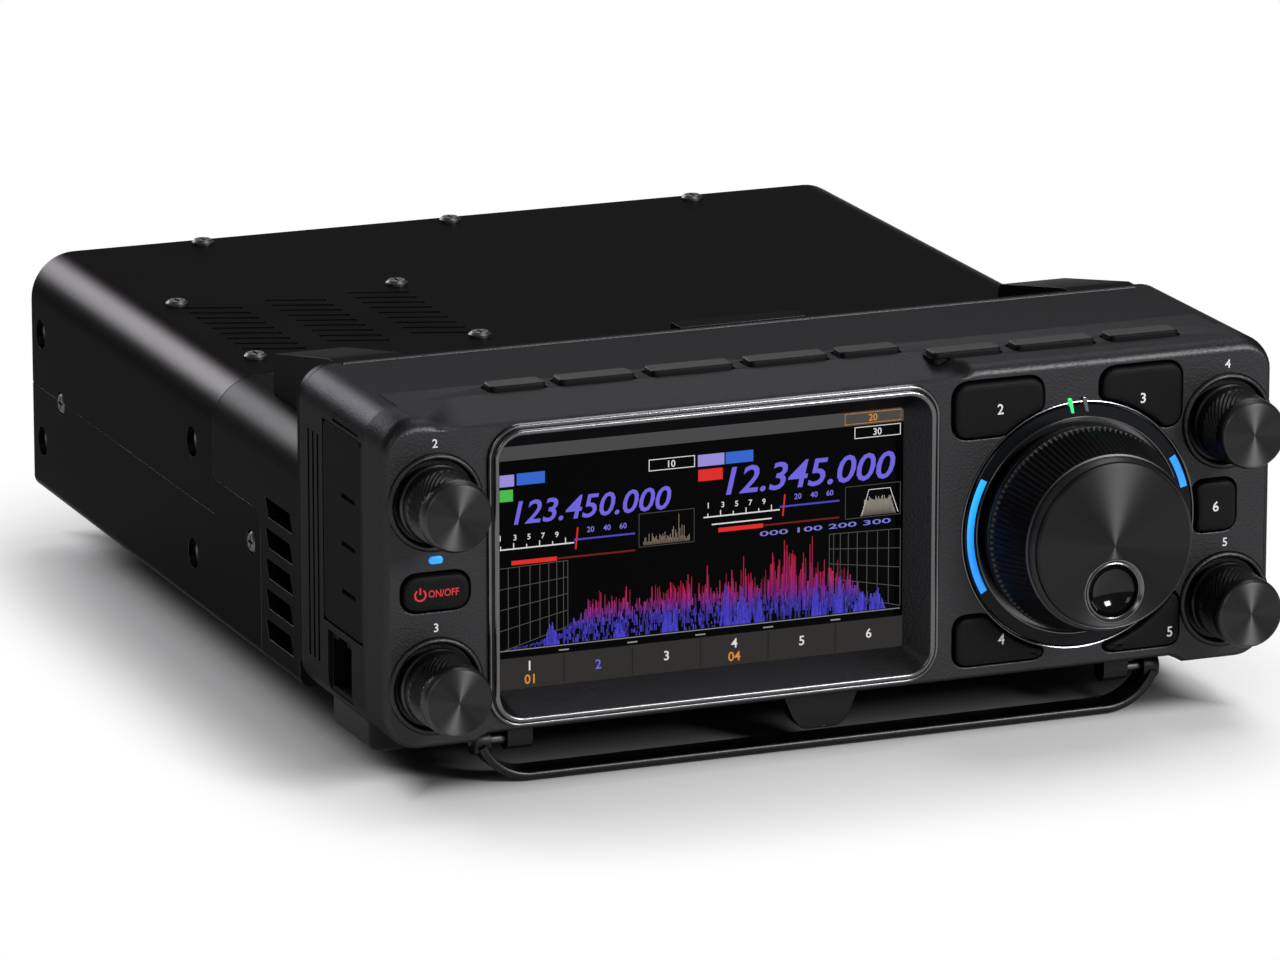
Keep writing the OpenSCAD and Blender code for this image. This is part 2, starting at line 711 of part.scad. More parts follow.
module stand() {
  color([0.06, 0.06, 0.06]) place()
    difference() {
      union() {
        intersection() {
          slab(hinge_y - stand_d / 2, hinge_y + stand_d / 2) difference() {
            rbox(-stand_hw, stand_hw, stand_floor, stand_floor + 3 * stand_r, stand_r);
            rbox(-stand_hw + stand_t + 0.4, stand_hw - stand_t - 0.4, stand_floor + stand_t,
              stand_floor + 3 * stand_r, stand_r - stand_t);
          }
          block(-stand_hw - 1, stand_hw + 1, 0, 30, stand_floor - 1, hinge_z);
        }
        for (s = [-1, 1]) axle(s * (stand_hw - 2.45) - 2, s * (stand_hw - 2.45) + 2, hinge_y, hinge_z, eye_r);
      }
      axle(-stand_hw - 1, stand_hw + 1, hinge_y, hinge_z, pin_r + run);
    }
}

module stand_pivots() {
  color([0.7, 0.7, 0.72]) place()
    for (s = [-1, 1]) axle(s * (stand_hw - 6.4) - 5.8, s * (stand_hw - 6.4) + 5.8, hinge_y, hinge_z, pin_r);
}

// Outline of the amplifier, made smaller by g.
module amp_shape(g) {
  difference() {
    rbox(-hw + g, hw - g, g, amp_h - g, amp_r - g);
    for (s = [-1, 1]) translate([s * (hw - amp_r / 2) - amp_r / 2 - 0.1, -1]) square([amp_r + 0.2, amp_r + 1]);
  }
  rbox(-hw + g, hw - g, g, 2 * amp_r, max(3 - g, 0.6));
}

// Side view of the bottom cover, made smaller by g.
module lower_side(g) {
  translate([step_y + step_r + g, -1]) square([seam_y - step_y - step_r - 2 * g, step_z + 1 - g]);
  translate([step_y + g, -1]) square([seam_y - step_y - 2 * g, step_z + 1 - step_r - g]);
  translate([step_y + step_r + g, step_z - step_r - g]) circle(step_r);
  translate([seam_y - g - 1, -1]) square([rear_y - seam_y + 2, seam_z + 1 - g]);
}

module front_frame() {
  color([0.06, 0.06, 0.06]) place() {
    difference() {
      union() {
        // docking plate and the shell behind it
        slab(dock_y, amp_y) rbox(-hw, hw, 0, head_h, head_r);
        slab(amp_y - 0.1, seam_y) amp_shape(0);
        // concave flare up to the plate
        difference() {
          block(-hw + 10, hw - 10, amp_y - 0.1, amp_y + 9, amp_h - 1, amp_h + 9);
          axle(-hw, hw, amp_y + 9, amp_h + 9, 9);
        }
        // sloping ribs at both ends
        for (s = [-1, 1])
          span(min(s * (hw - 8.7), s * (hw - 25.5)), max(s * (hw - 8.7), s * (hw - 25.5)))
            polygon([[amp_y - 1, amp_h - 1], [amp_y - 1, head_h], [amp_y + 3, head_h],
              [94.6, amp_h + 9.8], [95.8, amp_h + 8], [95.8, amp_h - 1]]);
        // release tab in the middle of the top edge
        block(-15.5, 15.5, dock_y + 0.6, amp_y + 4.6, head_h - 4, head_h + 0.5);
      }
      slab(amp_y, seam_y + 1) amp_shape(cover_t);
      // part taken by the bottom cover
      span(-hw - 1, hw + 1) lower_side(-seam / 2);
      // window of the docking plug
      block(-32, 32, dock_y - 1, amp_y + 1, 22, 38);
      // side vents
      for (s = [-1, 1])
        for (k = [0:4])
          span(min(s * (hw + 1), s * (hw - 4)), max(s * (hw + 1), s * (hw - 4)))
            polygon([[60, vent_z + k * vent_pitch], [76.4, vent_z + k * vent_pitch],
              [78.4, vent_z + k * vent_pitch + vent_h], [62, vent_z + k * vent_pitch + vent_h]]);
      for (s = [-1, 1]) seam_screw_hole(s, 88.4);
    }
  }
}

// Counterbored hole of a side screw at depth y.
module seam_screw_hole(s, y) {
  axle(min(s * (hw - 12), s * (hw + 1)), max(s * (hw - 12), s * (hw + 1)), y, seam_z - 0.5, screw_r + 0.05);
  axle(min(s * (hw - sink), s * (hw + 1)), max(s * (hw - sink), s * (hw + 1)), y, seam_z - 0.5, screw_head_r + 0.2);
}

// Access holes over the bracket bosses, on both sides.
module bracket_holes(r, depth) {
  for (s = [-1, 1])
    for (y = [bracket_y, bracket_y + bracket_l])
      for (z = [bracket_z, bracket_z + bracket_h])
        axle(min(s * (hw - depth), s * (hw + 1)), max(s * (hw - depth), s * (hw + 1)), y, z, r);
}

module top_cover() {
  color([0.1, 0.09, 0.085]) place()
    difference() {
      slab(seam_y + seam, rear_y) difference() {
        amp_shape(0);
        amp_shape(cover_t);
        translate([-hw - 1, -1]) square([body_w + 2, seam_z + 1 + seam / 2]);
      }
      // three columns of slanted speaker slots
      for (c = [0:2])
        for (k = [0:8])
          translate([speaker_x - 21 + 21 * c, speaker_y + 22 - 5.4 * k, amp_h - cover_t - 1])
            rotate([0, 0, -20]) translate([-7.4, -0.9, 0]) cube([14.8, 1.8, cover_t + 2]);
      for (x = [-1, 1])
        for (y = [-1, 1])
          post(speaker_x + x * speaker_sq / 2, speaker_y + y * speaker_sq / 2, amp_h - 4, amp_h + 1, screw_r + 0.05);
      for (x = rear_top_x) post(x, rear_y - 4.4, amp_h - 4, amp_h + 1, screw_r + 0.05);
      bracket_holes(bracket_r + 1.6, cover_t + 1);
      for (s = [-1, 1]) seam_screw_hole(s, rear_y - 21.6);
    }
}

module bottom_cover() {
  color([0.1, 0.09, 0.085]) place()
    difference() {
      intersection() {
        slab(step_y, rear_y) difference() {
          amp_shape(0);
          amp_shape(cover_t);
        }
        span(-hw - 1, hw + 1) lower_side(seam / 2);
      }
      bracket_holes(bracket_r + 1.6, cover_t + 1);
      for (s = [-1, 1])
        for (y = [88.4, rear_y - 21.6]) seam_screw_hole(s, y);
      // intake slots under the deck
      for (k = [0:7]) block(-40 + 10 * k, -35 + 10 * k, 126, 176, -1, cover_t + 1);
    }
}

module chassis() {
  color([0.35, 0.35, 0.36]) place()
    difference() {
      union() {
        block(-chassis_x + 1.2, chassis_x - 1.2, amp_y + 3, rear_y - rear_t + 0.1, cover_t, cover_t + 3);
        // side walls with bosses for the bracket screws
        for (s = [-1, 1])
          block(min(s * chassis_x, s * (chassis_x - 3.4)), max(s * chassis_x, s * (chassis_x - 3.4)),
            86, rear_y - rear_t + 0.1, cover_t + 1.4, 45.5);
        // rear panel with screw lugs under the top cover
        slab(rear_y - rear_t, rear_y) amp_shape(cover_t + seat);
        for (x = rear_top_x)
          block(x - 5.5, x + 5.5, rear_y - 9, rear_y - rear_t + 0.1, amp_h - cover_t - 6, amp_h - cover_t - seat);
        // cooling fins
        for (k = [0:15]) block(-chassis_x + 11.8 + 5.6 * k, -chassis_x + 13.6 + 5.6 * k, 70, 122, cover_t + 2.9, 34);
        // pillars of the power board
        for (x = [-pillar_x, 0, pillar_x])
          for (y = [134, 214]) post(x, y, cover_t + 2.9, 20, 3.4);
      }
      bracket_holes(bracket_r, cover_t + 5);
      for (s = [-1, 1])
        for (y = [88.4, rear_y - 21.6]) seam_screw_hole(s, y);
      for (x = rear_top_x) post(x, rear_y - 4.4, amp_h - 12, amp_h, screw_r + 0.05);
      // fan outlet as three broken rings
      difference() {
        union() {
          collar(fan_x, fan_z, rear_y - 5, rear_y + 1, 5.4, 9.6);
          collar(fan_x, fan_z, rear_y - 5, rear_y + 1, 11.4, 15.6);
          collar(fan_x, fan_z, rear_y - 5, rear_y + 1, 17.4, 21.6);
        }
        block(fan_x - 1, fan_x + 1, rear_y - 6, rear_y + 2, fan_z - 24, fan_z + 24);
        block(fan_x - 24, fan_x + 24, rear_y - 6, rear_y + 2, fan_z - 1, fan_z + 1);
      }
      for (x = ant_x) rod(x, ant_z, rear_y - 5, rear_y + 1, 6.2, 6.2);
      block(dc_x - 12 - seat, dc_x + 12 + seat, rear_y - 5, rear_y + 1, dc_z - 7 - seat, dc_z + 7 + seat);
      for (x = jack_x) rod(x, jack_z, rear_y - 5, rear_y + 1, 3.6, 3.6);
      rod(post_x, post_z, rear_y - 5, rear_y + 1, 2.05, 2.05);
      // cable mouth to the head
      block(-30, 30, 60, 69, -1, cover_t + 2);
    }
}

module antenna_sockets() {
  color([0.75, 0.75, 0.76]) place()
    for (x = ant_x) difference() {
      union() {
        slab(rear_y, rear_y + 2) rbox(x - 12, x + 12, ant_z - 12, ant_z + 12, 2);
        rod(x, ant_z, rear_y + 1.9, rear_y + socket_out, socket_r, socket_r);
        rod(x, ant_z, rear_y - 9, rear_y + 0.1, 6, 6);
      }
      difference() {
        rod(x, ant_z, rear_y + 5, rear_y + socket_out + 1, 6.3, 6.3);
        rod(x, ant_z, rear_y + 4, rear_y + socket_out - 2, 3.2, 3.2);
      }
      rod(x, ant_z, rear_y + 3, rear_y + socket_out + 1, 2, 2);
      for (a = [-1, 1])
        for (b = [-1, 1])
          rod(x + a * 9.1, ant_z + b * 9.1, rear_y - 1, rear_y + 3, 1.6, 1.6);
    }
}

module dc_inlet() {
  color([0.08, 0.08, 0.085]) place()
    difference() {
      union() {
        block(dc_x - 12, dc_x + 12, rear_y - 9, rear_y + 9, dc_z - 7, dc_z + 7);
        slab(rear_y, rear_y + 1.6) rbox(dc_x - 14, dc_x + 14, dc_z - 9, dc_z + 9, 1.5);
      }
      difference() {
        block(dc_x - 10, dc_x + 10, rear_y - 3, rear_y + 10, dc_z - 5, dc_z + 5);
        for (s = [-1, 1]) block(dc_x + s * 7.4 - 1, dc_x + s * 7.4 + 1, rear_y - 4, rear_y + 5, dc_z - 2.5, dc_z + 2.5);
      }
    }
}

module ground_post() {
  color([0.8, 0.78, 0.7]) place() {
    rod(post_x, post_z, rear_y - 6, rear_y + 11, 2, 2);
    rod(post_x, post_z, rear_y, rear_y + 1.2, 4.6, 4.6);
    difference() {
      rod(post_x, post_z, rear_y + 1.1, rear_y + 6, 5, 5);
      for (k = [0:11])
        translate([post_x, 0, post_z]) rotate([0, 30 * k, 0]) block(-0.4, 0.4, rear_y + 1.8, rear_y + 7, 4.4, 6);
    }
  }
}

module rear_jacks() {
  color([0.15, 0.15, 0.16]) place()
    for (x = jack_x) difference() {
      union() {
        rod(x, jack_z, rear_y - rear_t, rear_y + 0.6, 3.5, 3.5);
        rod(x, jack_z, rear_y, rear_y + 1.4, 4.6, 4.6);
        block(x - 4.5, x + 4.5, rear_y - 14, rear_y - rear_t, jack_z - 5, jack_z + 5);
      }
      rod(x, jack_z, rear_y - 12, rear_y + 2, 1.8, 1.8);
    }
}

module fan_frame() {
  color([0.08, 0.08, 0.085]) place() {
    fy = rear_y - rear_t;
    difference() {
      slab(fy - fan_d, fy) rbox(fan_x - fan_w / 2, fan_x + fan_w / 2, fan_z - fan_w / 2, fan_z + fan_w / 2, 3);
      rod(fan_x, fan_z, fy - fan_d - 1, fy + 1, fan_w / 2 - 1.6, fan_w / 2 - 1.6);
    }
    // hub plate on three arms, with the bearing pin
    rod(fan_x, fan_z, fy - fan_d, fy - fan_d + 2, 9, 9);
    for (a = [0, 120, 240])
      translate([fan_x, 0, fan_z]) rotate([0, a, 0]) block(-1.4, 1.4, fy - fan_d, fy - fan_d + 2, 7, fan_w / 2 - 1);
    rod(fan_x, fan_z, fy - fan_d + 1.9, fy - 4, 1.5, 1.5);
  }
}

module fan_rotor() {
  color([0.1, 0.1, 0.105]) place() {
    fy = rear_y - rear_t;
    hub = 9.5;
    difference() {
      union() {
        rod(fan_x, fan_z, fy - fan_d + 2.6, fy - 2, hub, hub);
        for (a = [0:6])
          translate([fan_x, fy - fan_d / 2 + 0.4, fan_z]) rotate([0, a * 360 / 7, 0])
            translate([0, 0, hub - 1]) rotate([0, 0, 52])
              translate([-5.4, -0.5, 0]) cube([10.8, 1, fan_w / 2 - 3.6 - hub]);
      }
      rod(fan_x, fan_z, fy - fan_d, fy - 3.6, 1.5 + run, 1.5 + run);
    }
  }
}

module speaker() {
  color([0.12, 0.12, 0.12]) place() {
    top = amp_h - cover_t;
    difference() {
      translate([0, 0, top - 1.6]) linear_extrude(1.6)
        rbox(speaker_x - 31.5, speaker_x + 31.5, speaker_y - 31.5, speaker_y + 31.5, 4);
      post(speaker_x, speaker_y, top - 4, top + 1, 24);
      for (x = [-1, 1])
        for (y = [-1, 1])
          post(speaker_x + x * speaker_sq / 2, speaker_y + y * speaker_sq / 2, top - 4, top + 1, screw_r + 0.05);
    }
    difference() {
      translate([speaker_x, speaker_y, top - 14]) cylinder(h = 12.5, r1 = 14, r2 = 26);
      translate([speaker_x, speaker_y, top - 12]) cylinder(h = 12, r1 = 12, r2 = 24.5);
    }
    post(speaker_x, speaker_y, top - 22, top - 13.9, 15);
  }
}

module power_board() {
  color([0.05, 0.25, 0.12]) place() {
    difference() {
      block(-hw + 10, hw - 10, 128, 222, 20, 21.6);
      for (x = [-pillar_x, 0, pillar_x])
        for (y = [134, 214]) post(x, y, 19, 23, 1.2);
    }
    // filter coils, relays and shield
    for (k = [0:4]) post(16 + 16 * k, 204, 21.5, 30, 6);
    for (k = [0:5]) block(10 + 13 * k, 19 + 13 * k, 176, 190, 21.5, 31);
    block(14, 90, 134, 168, 21.5, 40);
  }
}

// Pan head screw pointing down, its seat at the origin.
module screw(l) {
  difference() {
    union() {
      cylinder(h = 0.6, r = screw_head_r);
      translate([0, 0, 0.6]) cylinder(h = 0.6, r1 = screw_head_r, r2 = screw_head_r - 0.7);
      translate([0, 0, -l]) cylinder(h = l + 0.1, r = screw_r);
    }
    translate([-1.6, -0.3, 0.5]) cube([3.2, 0.6, 2]);
    translate([-0.3, -1.6, 0.5]) cube([0.6, 3.2, 2]);
  }
}

module cover_screws() {
  color([0.75, 0.75, 0.77]) place() {
    for (x = [-1, 1])
      for (y = [-1, 1])
        translate([speaker_x + x * speaker_sq / 2, speaker_y + y * speaker_sq / 2, amp_h]) screw(5);
    for (x = rear_top_x) translate([x, rear_y - 4.4, amp_h]) screw(7);
    for (s = [-1, 1])
      for (y = [88.4, rear_y - 21.6])
        translate([s * (hw - sink), y, seam_z - 0.5]) rotate([0, s * 90, 0]) screw(5);
  }
}

module feet() {
  // pads under the sides of the head
  color([0.04, 0.04, 0.04]) place()
    for (s = [-1, 1])
      difference() {
        translate([0, 0, -pad_h]) linear_extrude(pad_h + 3)
          rbox(s * (hw - 7) - 5, s * (hw - 7) + 5, bezel_d + 1, flap_y + flap_l + 2, 3);
        head_block(0, head_d, -seat);
      }
  color([0.04, 0.04, 0.04]) place()
    for (s = [-1, 1])
      for (y = [66, rear_y - 22]) difference() {
        union() {
          translate([s * foot_x, y, -foot_h + 2.4]) cylinder(h = foot_h - 2.4, r = foot_r);
          translate([s * foot_x, y, -foot_h]) cylinder(h = 2.4, r1 = foot_r - 2, r2 = foot_r);
        }
        post(s * foot_x, y, -foot_h - 1, -foot_h + 6, 3.2);
      }
}

front_panel();
display_frame();
touch_glass();
lcd_module();
rear_case();
control_board();
top_key_board();
logic_board();
key_switches();
encoder_bodies();
dial_encoder();
dial_light_ring();
status_lights();
power_light();
jack_cover();
side_jacks();
mic_socket();
main_dial();
dial_face();
finger_cup();
dial_shaft();
knob_shaft(0);  // shaft_upper_left
knob_shaft(1);  // shaft_lower_left
knob_shaft(2);  // shaft_upper_right
knob_shaft(3);  // shaft_lower_right
knob(0);  // knob_upper_left
knob(1);  // knob_lower_left
knob(2);  // knob_upper_right
knob(3);  // knob_lower_right
face_key(0);  // key_band
face_key(1);  // key_clarifier
face_key(2);  // key_back
face_key(3);  // key_fine
face_key(4);  // key_display
face_key(5);  // key_power
top_key(0);  // top_key_1
top_key(1);  // top_key_2
top_key(2);  // top_key_3
top_key(3);  // top_key_4
top_key(4);  // top_key_5
top_key(5);  // top_key_6
top_key(6);  // top_key_7
top_key(7);  // top_key_8
stand();
stand_pivots();
front_frame();
top_cover();
bottom_cover();
chassis();
antenna_sockets();
dc_inlet();
ground_post();
rear_jacks();
fan_frame();
fan_rotor();
speaker();
power_board();
cover_screws();
feet();
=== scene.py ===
import math

import bmesh
import bpy
import numpy as np
from bpy.props import FloatProperty, FloatVectorProperty, IntProperty
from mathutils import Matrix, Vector
from mathutils.geometry import tessellate_polygon


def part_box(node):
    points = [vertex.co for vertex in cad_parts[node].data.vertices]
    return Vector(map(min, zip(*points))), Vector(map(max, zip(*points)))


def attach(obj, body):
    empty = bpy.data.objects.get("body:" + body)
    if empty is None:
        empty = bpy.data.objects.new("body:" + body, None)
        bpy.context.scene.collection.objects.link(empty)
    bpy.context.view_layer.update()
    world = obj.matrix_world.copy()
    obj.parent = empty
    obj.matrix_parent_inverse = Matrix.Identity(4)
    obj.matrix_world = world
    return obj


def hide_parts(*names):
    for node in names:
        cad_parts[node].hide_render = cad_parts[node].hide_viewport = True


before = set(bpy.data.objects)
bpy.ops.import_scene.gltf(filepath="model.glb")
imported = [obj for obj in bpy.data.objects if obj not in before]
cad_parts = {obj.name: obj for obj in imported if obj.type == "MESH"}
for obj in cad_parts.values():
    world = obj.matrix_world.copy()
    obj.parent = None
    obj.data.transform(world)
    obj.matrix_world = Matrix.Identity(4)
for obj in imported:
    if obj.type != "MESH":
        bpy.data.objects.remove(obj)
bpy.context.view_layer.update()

bl_info = {
    "name": "Mobile transceiver",
    "version": (1, 0, 0),
    "blender": (4, 5, 0),
    "location": "View3D > Sidebar > Transceiver",
    "description": "Dresses the frame of a mobile transceiver with its finished pieces",
    "category": "Object",
}

# Places and sizes are in millimetres: x across, depth behind the front face, height above the body bottom.
BEZEL_D = 13.2
CASE_LOW, CASE_HIGH = (np.array(corner) * 1000 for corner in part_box("rear_case"))
HALF_W = CASE_HIGH[0]
HEAD_H = CASE_HIGH[2] - CASE_LOW[2]
ORIGIN = np.array([0.0, CASE_LOW[1] - BEZEL_D, CASE_LOW[2]])


def local_box(node):
    """Lowest and highest corner of a CAD node in local millimetres."""
    return tuple(np.array(corner) * 1000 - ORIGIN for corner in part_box(node))


def middle(node, first=0):
    """Middle of a CAD node: across, or in depth if first is 1, and in height."""
    low, high = local_box(node)
    return (low[[first, 2]] + high[[first, 2]]) / 2


def half_width(node):
    """Half of the width of a CAD node, which is the radius of a round one."""
    low, high = local_box(node)
    return (high[0] - low[0]) / 2


FRAME_LOW, FRAME_HIGH = local_box("display_frame")
GLASS_LOW, GLASS_HIGH = local_box("touch_glass")
SCREEN = (GLASS_LOW[0] + 1.6, GLASS_HIGH[0] - 2.0, GLASS_LOW[2] + 2.0, GLASS_HIGH[2] - 2.0)
DIAL = middle("main_dial")
DIAL_OUT = -local_box("dial_face")[0][1]
RING_R = half_width("dial_light_ring")
RING_IN = RING_R - 3.1
REAR_Y = local_box("top_cover")[1][1]
KNOBS = ("upper_left", "lower_left", "upper_right", "lower_right")
ARC_KEYS = ("key_band", "key_clarifier", "key_back", "key_fine", "key_display")
FACE_KEYS = (*ARC_KEYS, "key_power")
TOP_KEYS = tuple("top_key_%d" % n for n in range(1, 9))

# Front panel and shelf.
FACE_T = 2.4
HEAD_CORNER = 8.0
RELIEF_X = 86.6
RELIEF_Z = 1.7
SHELF_X = 100.0
SHELF_Y = 24.0
SHELF_T = 2.2
SCOOP_X = (FRAME_LOW[0] - 0.6, FRAME_HIGH[0] + 0.6)
LUG_R = 2.7
LUG_HALF = 3
KNOB_HOLE = 9.9
# Keys: their outlines stay off a circle round the dial, their CAD nodes have a hidden flange, and the rim
# of a hole starts further out than the gap by the extra.
KEY_ARC = RING_R + 1.4
KEY_FLANGE = 0.9
TOP_KEY_FLANGE = 0.8
HOLE_EXTRA = 0.3
SLOT_EXTRA = 0.2
WIDE_KEYS = ("key_band", "key_clarifier", "key_power")
# Deck: feet, pads and bracket holes.
FOOT_X = HALF_W - 28
FOOT_Y = (66.0, REAR_Y - 22)
FOOT_R = 9.0
PAD_Y = 41.4
PAD_H = 4.2
BRACKET_Y = (REAR_Y - 119.2, REAR_Y - 6.8)
BRACKET_Z = (13.1, 40.1)

# Points closer than this are merged, in metres.
MERGE = 2e-6
# Copies of CAD nodes: facets that turn less are joined, and edges that turn more are rounded, in degrees.
FLAT_TURN = 0.5
EDGE_TURN = 35


class PanelSettings(bpy.types.PropertyGroup):
    """Sizes of the front panel edges, in millimetres."""

    side_round: FloatProperty(name="Side rounding", description="Width of the rounded sides", default=1.4)
    side_depth: FloatProperty(name="Side depth", description="Depth of the rounded side edges", default=2.6)
    top_round: FloatProperty(name="Top rounding", description="Height of the rolled top edge", default=3.2)
    top_depth: FloatProperty(name="Top depth", description="Depth where the roll meets the top", default=3.4)
    low_round: FloatProperty(name="Low rounding", description="Height of the rounded low edge", default=1.1)
    low_depth: FloatProperty(name="Low depth", description="Depth of the rounded low edge", default=1.5)
    scoop_drop: FloatProperty(name="Recess drop", description="Drop of the display recess", default=3.1)
    scoop_depth: FloatProperty(name="Recess depth", description="Depth of the display recess", default=15.5)
    blend_left: FloatProperty(name="Left blend", description="Length of the left fade", default=14.0)
    blend_right: FloatProperty(name="Right blend", description="Length of the right fade", default=8.0)
    key_gap: FloatProperty(name="Key gap", description="Gap round the keys", default=0.55)
    key_round: FloatProperty(name="Key rounding", description="Edge radius of the keys", default=0.7)


class DialSettings(bpy.types.PropertyGroup):
    """Counts and depths of the grips, in millimetres."""

    ribs: IntProperty(name="Dial ribs", description="Straight ribs round the dial", default=110)
    rib_depth: FloatProperty(name="Rib depth", description="Depth of the dial ribs", default=0.6)
    threads: IntProperty(name="Knob threads", description="Slanted ribs round a knob", default=34)
    thread_depth: FloatProperty(name="Thread depth", description="Depth of the slanted ribs", default=0.4)
    thread_turn: FloatProperty(name="Thread slant", description="Turn per millimetre of depth", default=0.11)


class ScreenSettings(bpy.types.PropertyGroup):
    """Colours and counts of the lit display."""

    digits: FloatVectorProperty(
        name="Digits", description="Colour of the large numbers", subtype="COLOR", default=(0.16, 0.13, 0.74))
    low: FloatVectorProperty(
        name="Low signal", description="Colour of weak signals", subtype="COLOR", default=(0.085, 0.07, 0.72))
    high: FloatVectorProperty(
        name="High signal", description="Colour of strong signals", subtype="COLOR",
        default=(0.7, 0.01, 0.04))
    columns: IntProperty(name="Columns", description="Spikes in one row of the spectrum", default=180)
    rows: IntProperty(name="Rows", description="Rows of the spectrum", default=9)
    seed: IntProperty(name="Seed", description="Seed of the signal pattern", default=11)


class StageSettings(bpy.types.PropertyGroup):
    """Camera and floor of the stage."""

    place: FloatVectorProperty(
        name="Camera", description="Place of the camera", subtype="TRANSLATION", unit="LENGTH",
        default=(-0.75229, -1.8672, 0.56753))
    yaw: FloatProperty(
        name="Yaw", description="Turn of the camera to the right", subtype="ANGLE",
        default=math.radians(21.981171))
    pitch: FloatProperty(
        name="Pitch", description="Tilt of the camera down", subtype="ANGLE", default=math.radians(14.829227))
    lens: FloatProperty(name="Lens", description="Focal length", unit="CAMERA", default=247.07)
    floor: FloatVectorProperty(
        name="Floor", description="Colour of the floor", subtype="COLOR", default=(0.9, 0.9, 0.9))


# Planes of the body: from coordinates a and b in the plane and a height h to local millimetres.
PLANES = {
    "front": lambda a, b, h: np.stack([a, -h, b], -1),
    "top": lambda a, b, h: np.stack([a, b, h], -1),
    "left": lambda a, b, h: np.stack([-h, a, b], -1),
    "right": lambda a, b, h: np.stack([h, a, b], -1),
}


def lay(plane, points, height):
    """Puts (a, b) points on a plane of the body, at one height or at a height each."""
    return PLANES[plane](points[..., 0], points[..., 1], np.zeros(points.shape[:-1]) + height)


def to_metres(points):
    """Local millimetres to metres in the shared frame."""
    return (np.asarray(points, float) + ORIGIN) * 0.001


def smooth(x):
    """Cubic step from 0 to 1 over x from 0 to 1."""
    x = np.clip(x, 0, 1)
    return x * x * (3 - 2 * x)


def arc(x, z, r, start, end, count):
    """Points on an arc, angles in degrees."""
    angle = np.radians(np.linspace(start, end, count))
    return np.stack([x + r * np.cos(angle), z + r * np.sin(angle)], -1)


def circle(x, z, r, count):
    """Closed loop of points on a circle."""
    return arc(x, z, r, 0, 360, count + 1)[:-1]


def round_rect(x0, x1, z0, z1, r, count=9):
    """Rounded rectangle as a loop: four quarter arcs joined by straight edges."""
    centres = ((x1 - r, z1 - r), (x0 + r, z1 - r), (x0 + r, z0 + r), (x1 - r, z0 + r))
    return np.concatenate([arc(x, z, r, 90 * k, 90 * k + 90, count) for k, (x, z) in enumerate(centres)])


def resample(loop, count):
    """Points evenly spaced along a closed loop."""
    closed = np.concatenate([loop, loop[:1]])
    run = np.concatenate([[0], np.cumsum(np.linalg.norm(np.diff(closed, axis=0), axis=1))])
    at = np.linspace(0, run[-1], count, endpoint=False)
    return np.stack([np.interp(at, run, closed[:, k]) for k in range(2)], -1)


def soften(loop, passes):
    """Rounds the corners of an even loop by averaging each point with its neighbours."""
    for _ in range(passes):
        loop = 0.5 * loop + 0.25 * (np.roll(loop, 1, 0) + np.roll(loop, -1, 0))
    return loop


def outward(loop):
    """Unit normals of a counterclockwise loop, square to the chord through both neighbours."""
    chord = np.roll(loop, -1, 0) - np.roll(loop, 1, 0)
    normal = np.stack([chord[:, 1], -chord[:, 0]], -1)
    return normal / np.linalg.norm(normal, axis=1, keepdims=True)


def quarter(soft, top, count):
    """Pairs of inset and height for a quarter round of radius soft that ends at height top."""
    angle = np.linspace(0, math.pi / 2, count)
    return list(zip(soft * (1 - np.cos(angle)), top - soft * (1 - np.sin(angle))))


def refine(section, step):
    """Adds points to a section so that no stretch is longer than step."""
    section = np.array(section, float)
    out = [section[:1]]
    for a, b in zip(section[:-1], section[1:]):
        count = max(1, math.ceil(np.linalg.norm(b - a) / step))
        out.append(a + (b - a) * np.linspace(0, 1, count + 1)[1:, None])
    return np.concatenate(out).tolist()


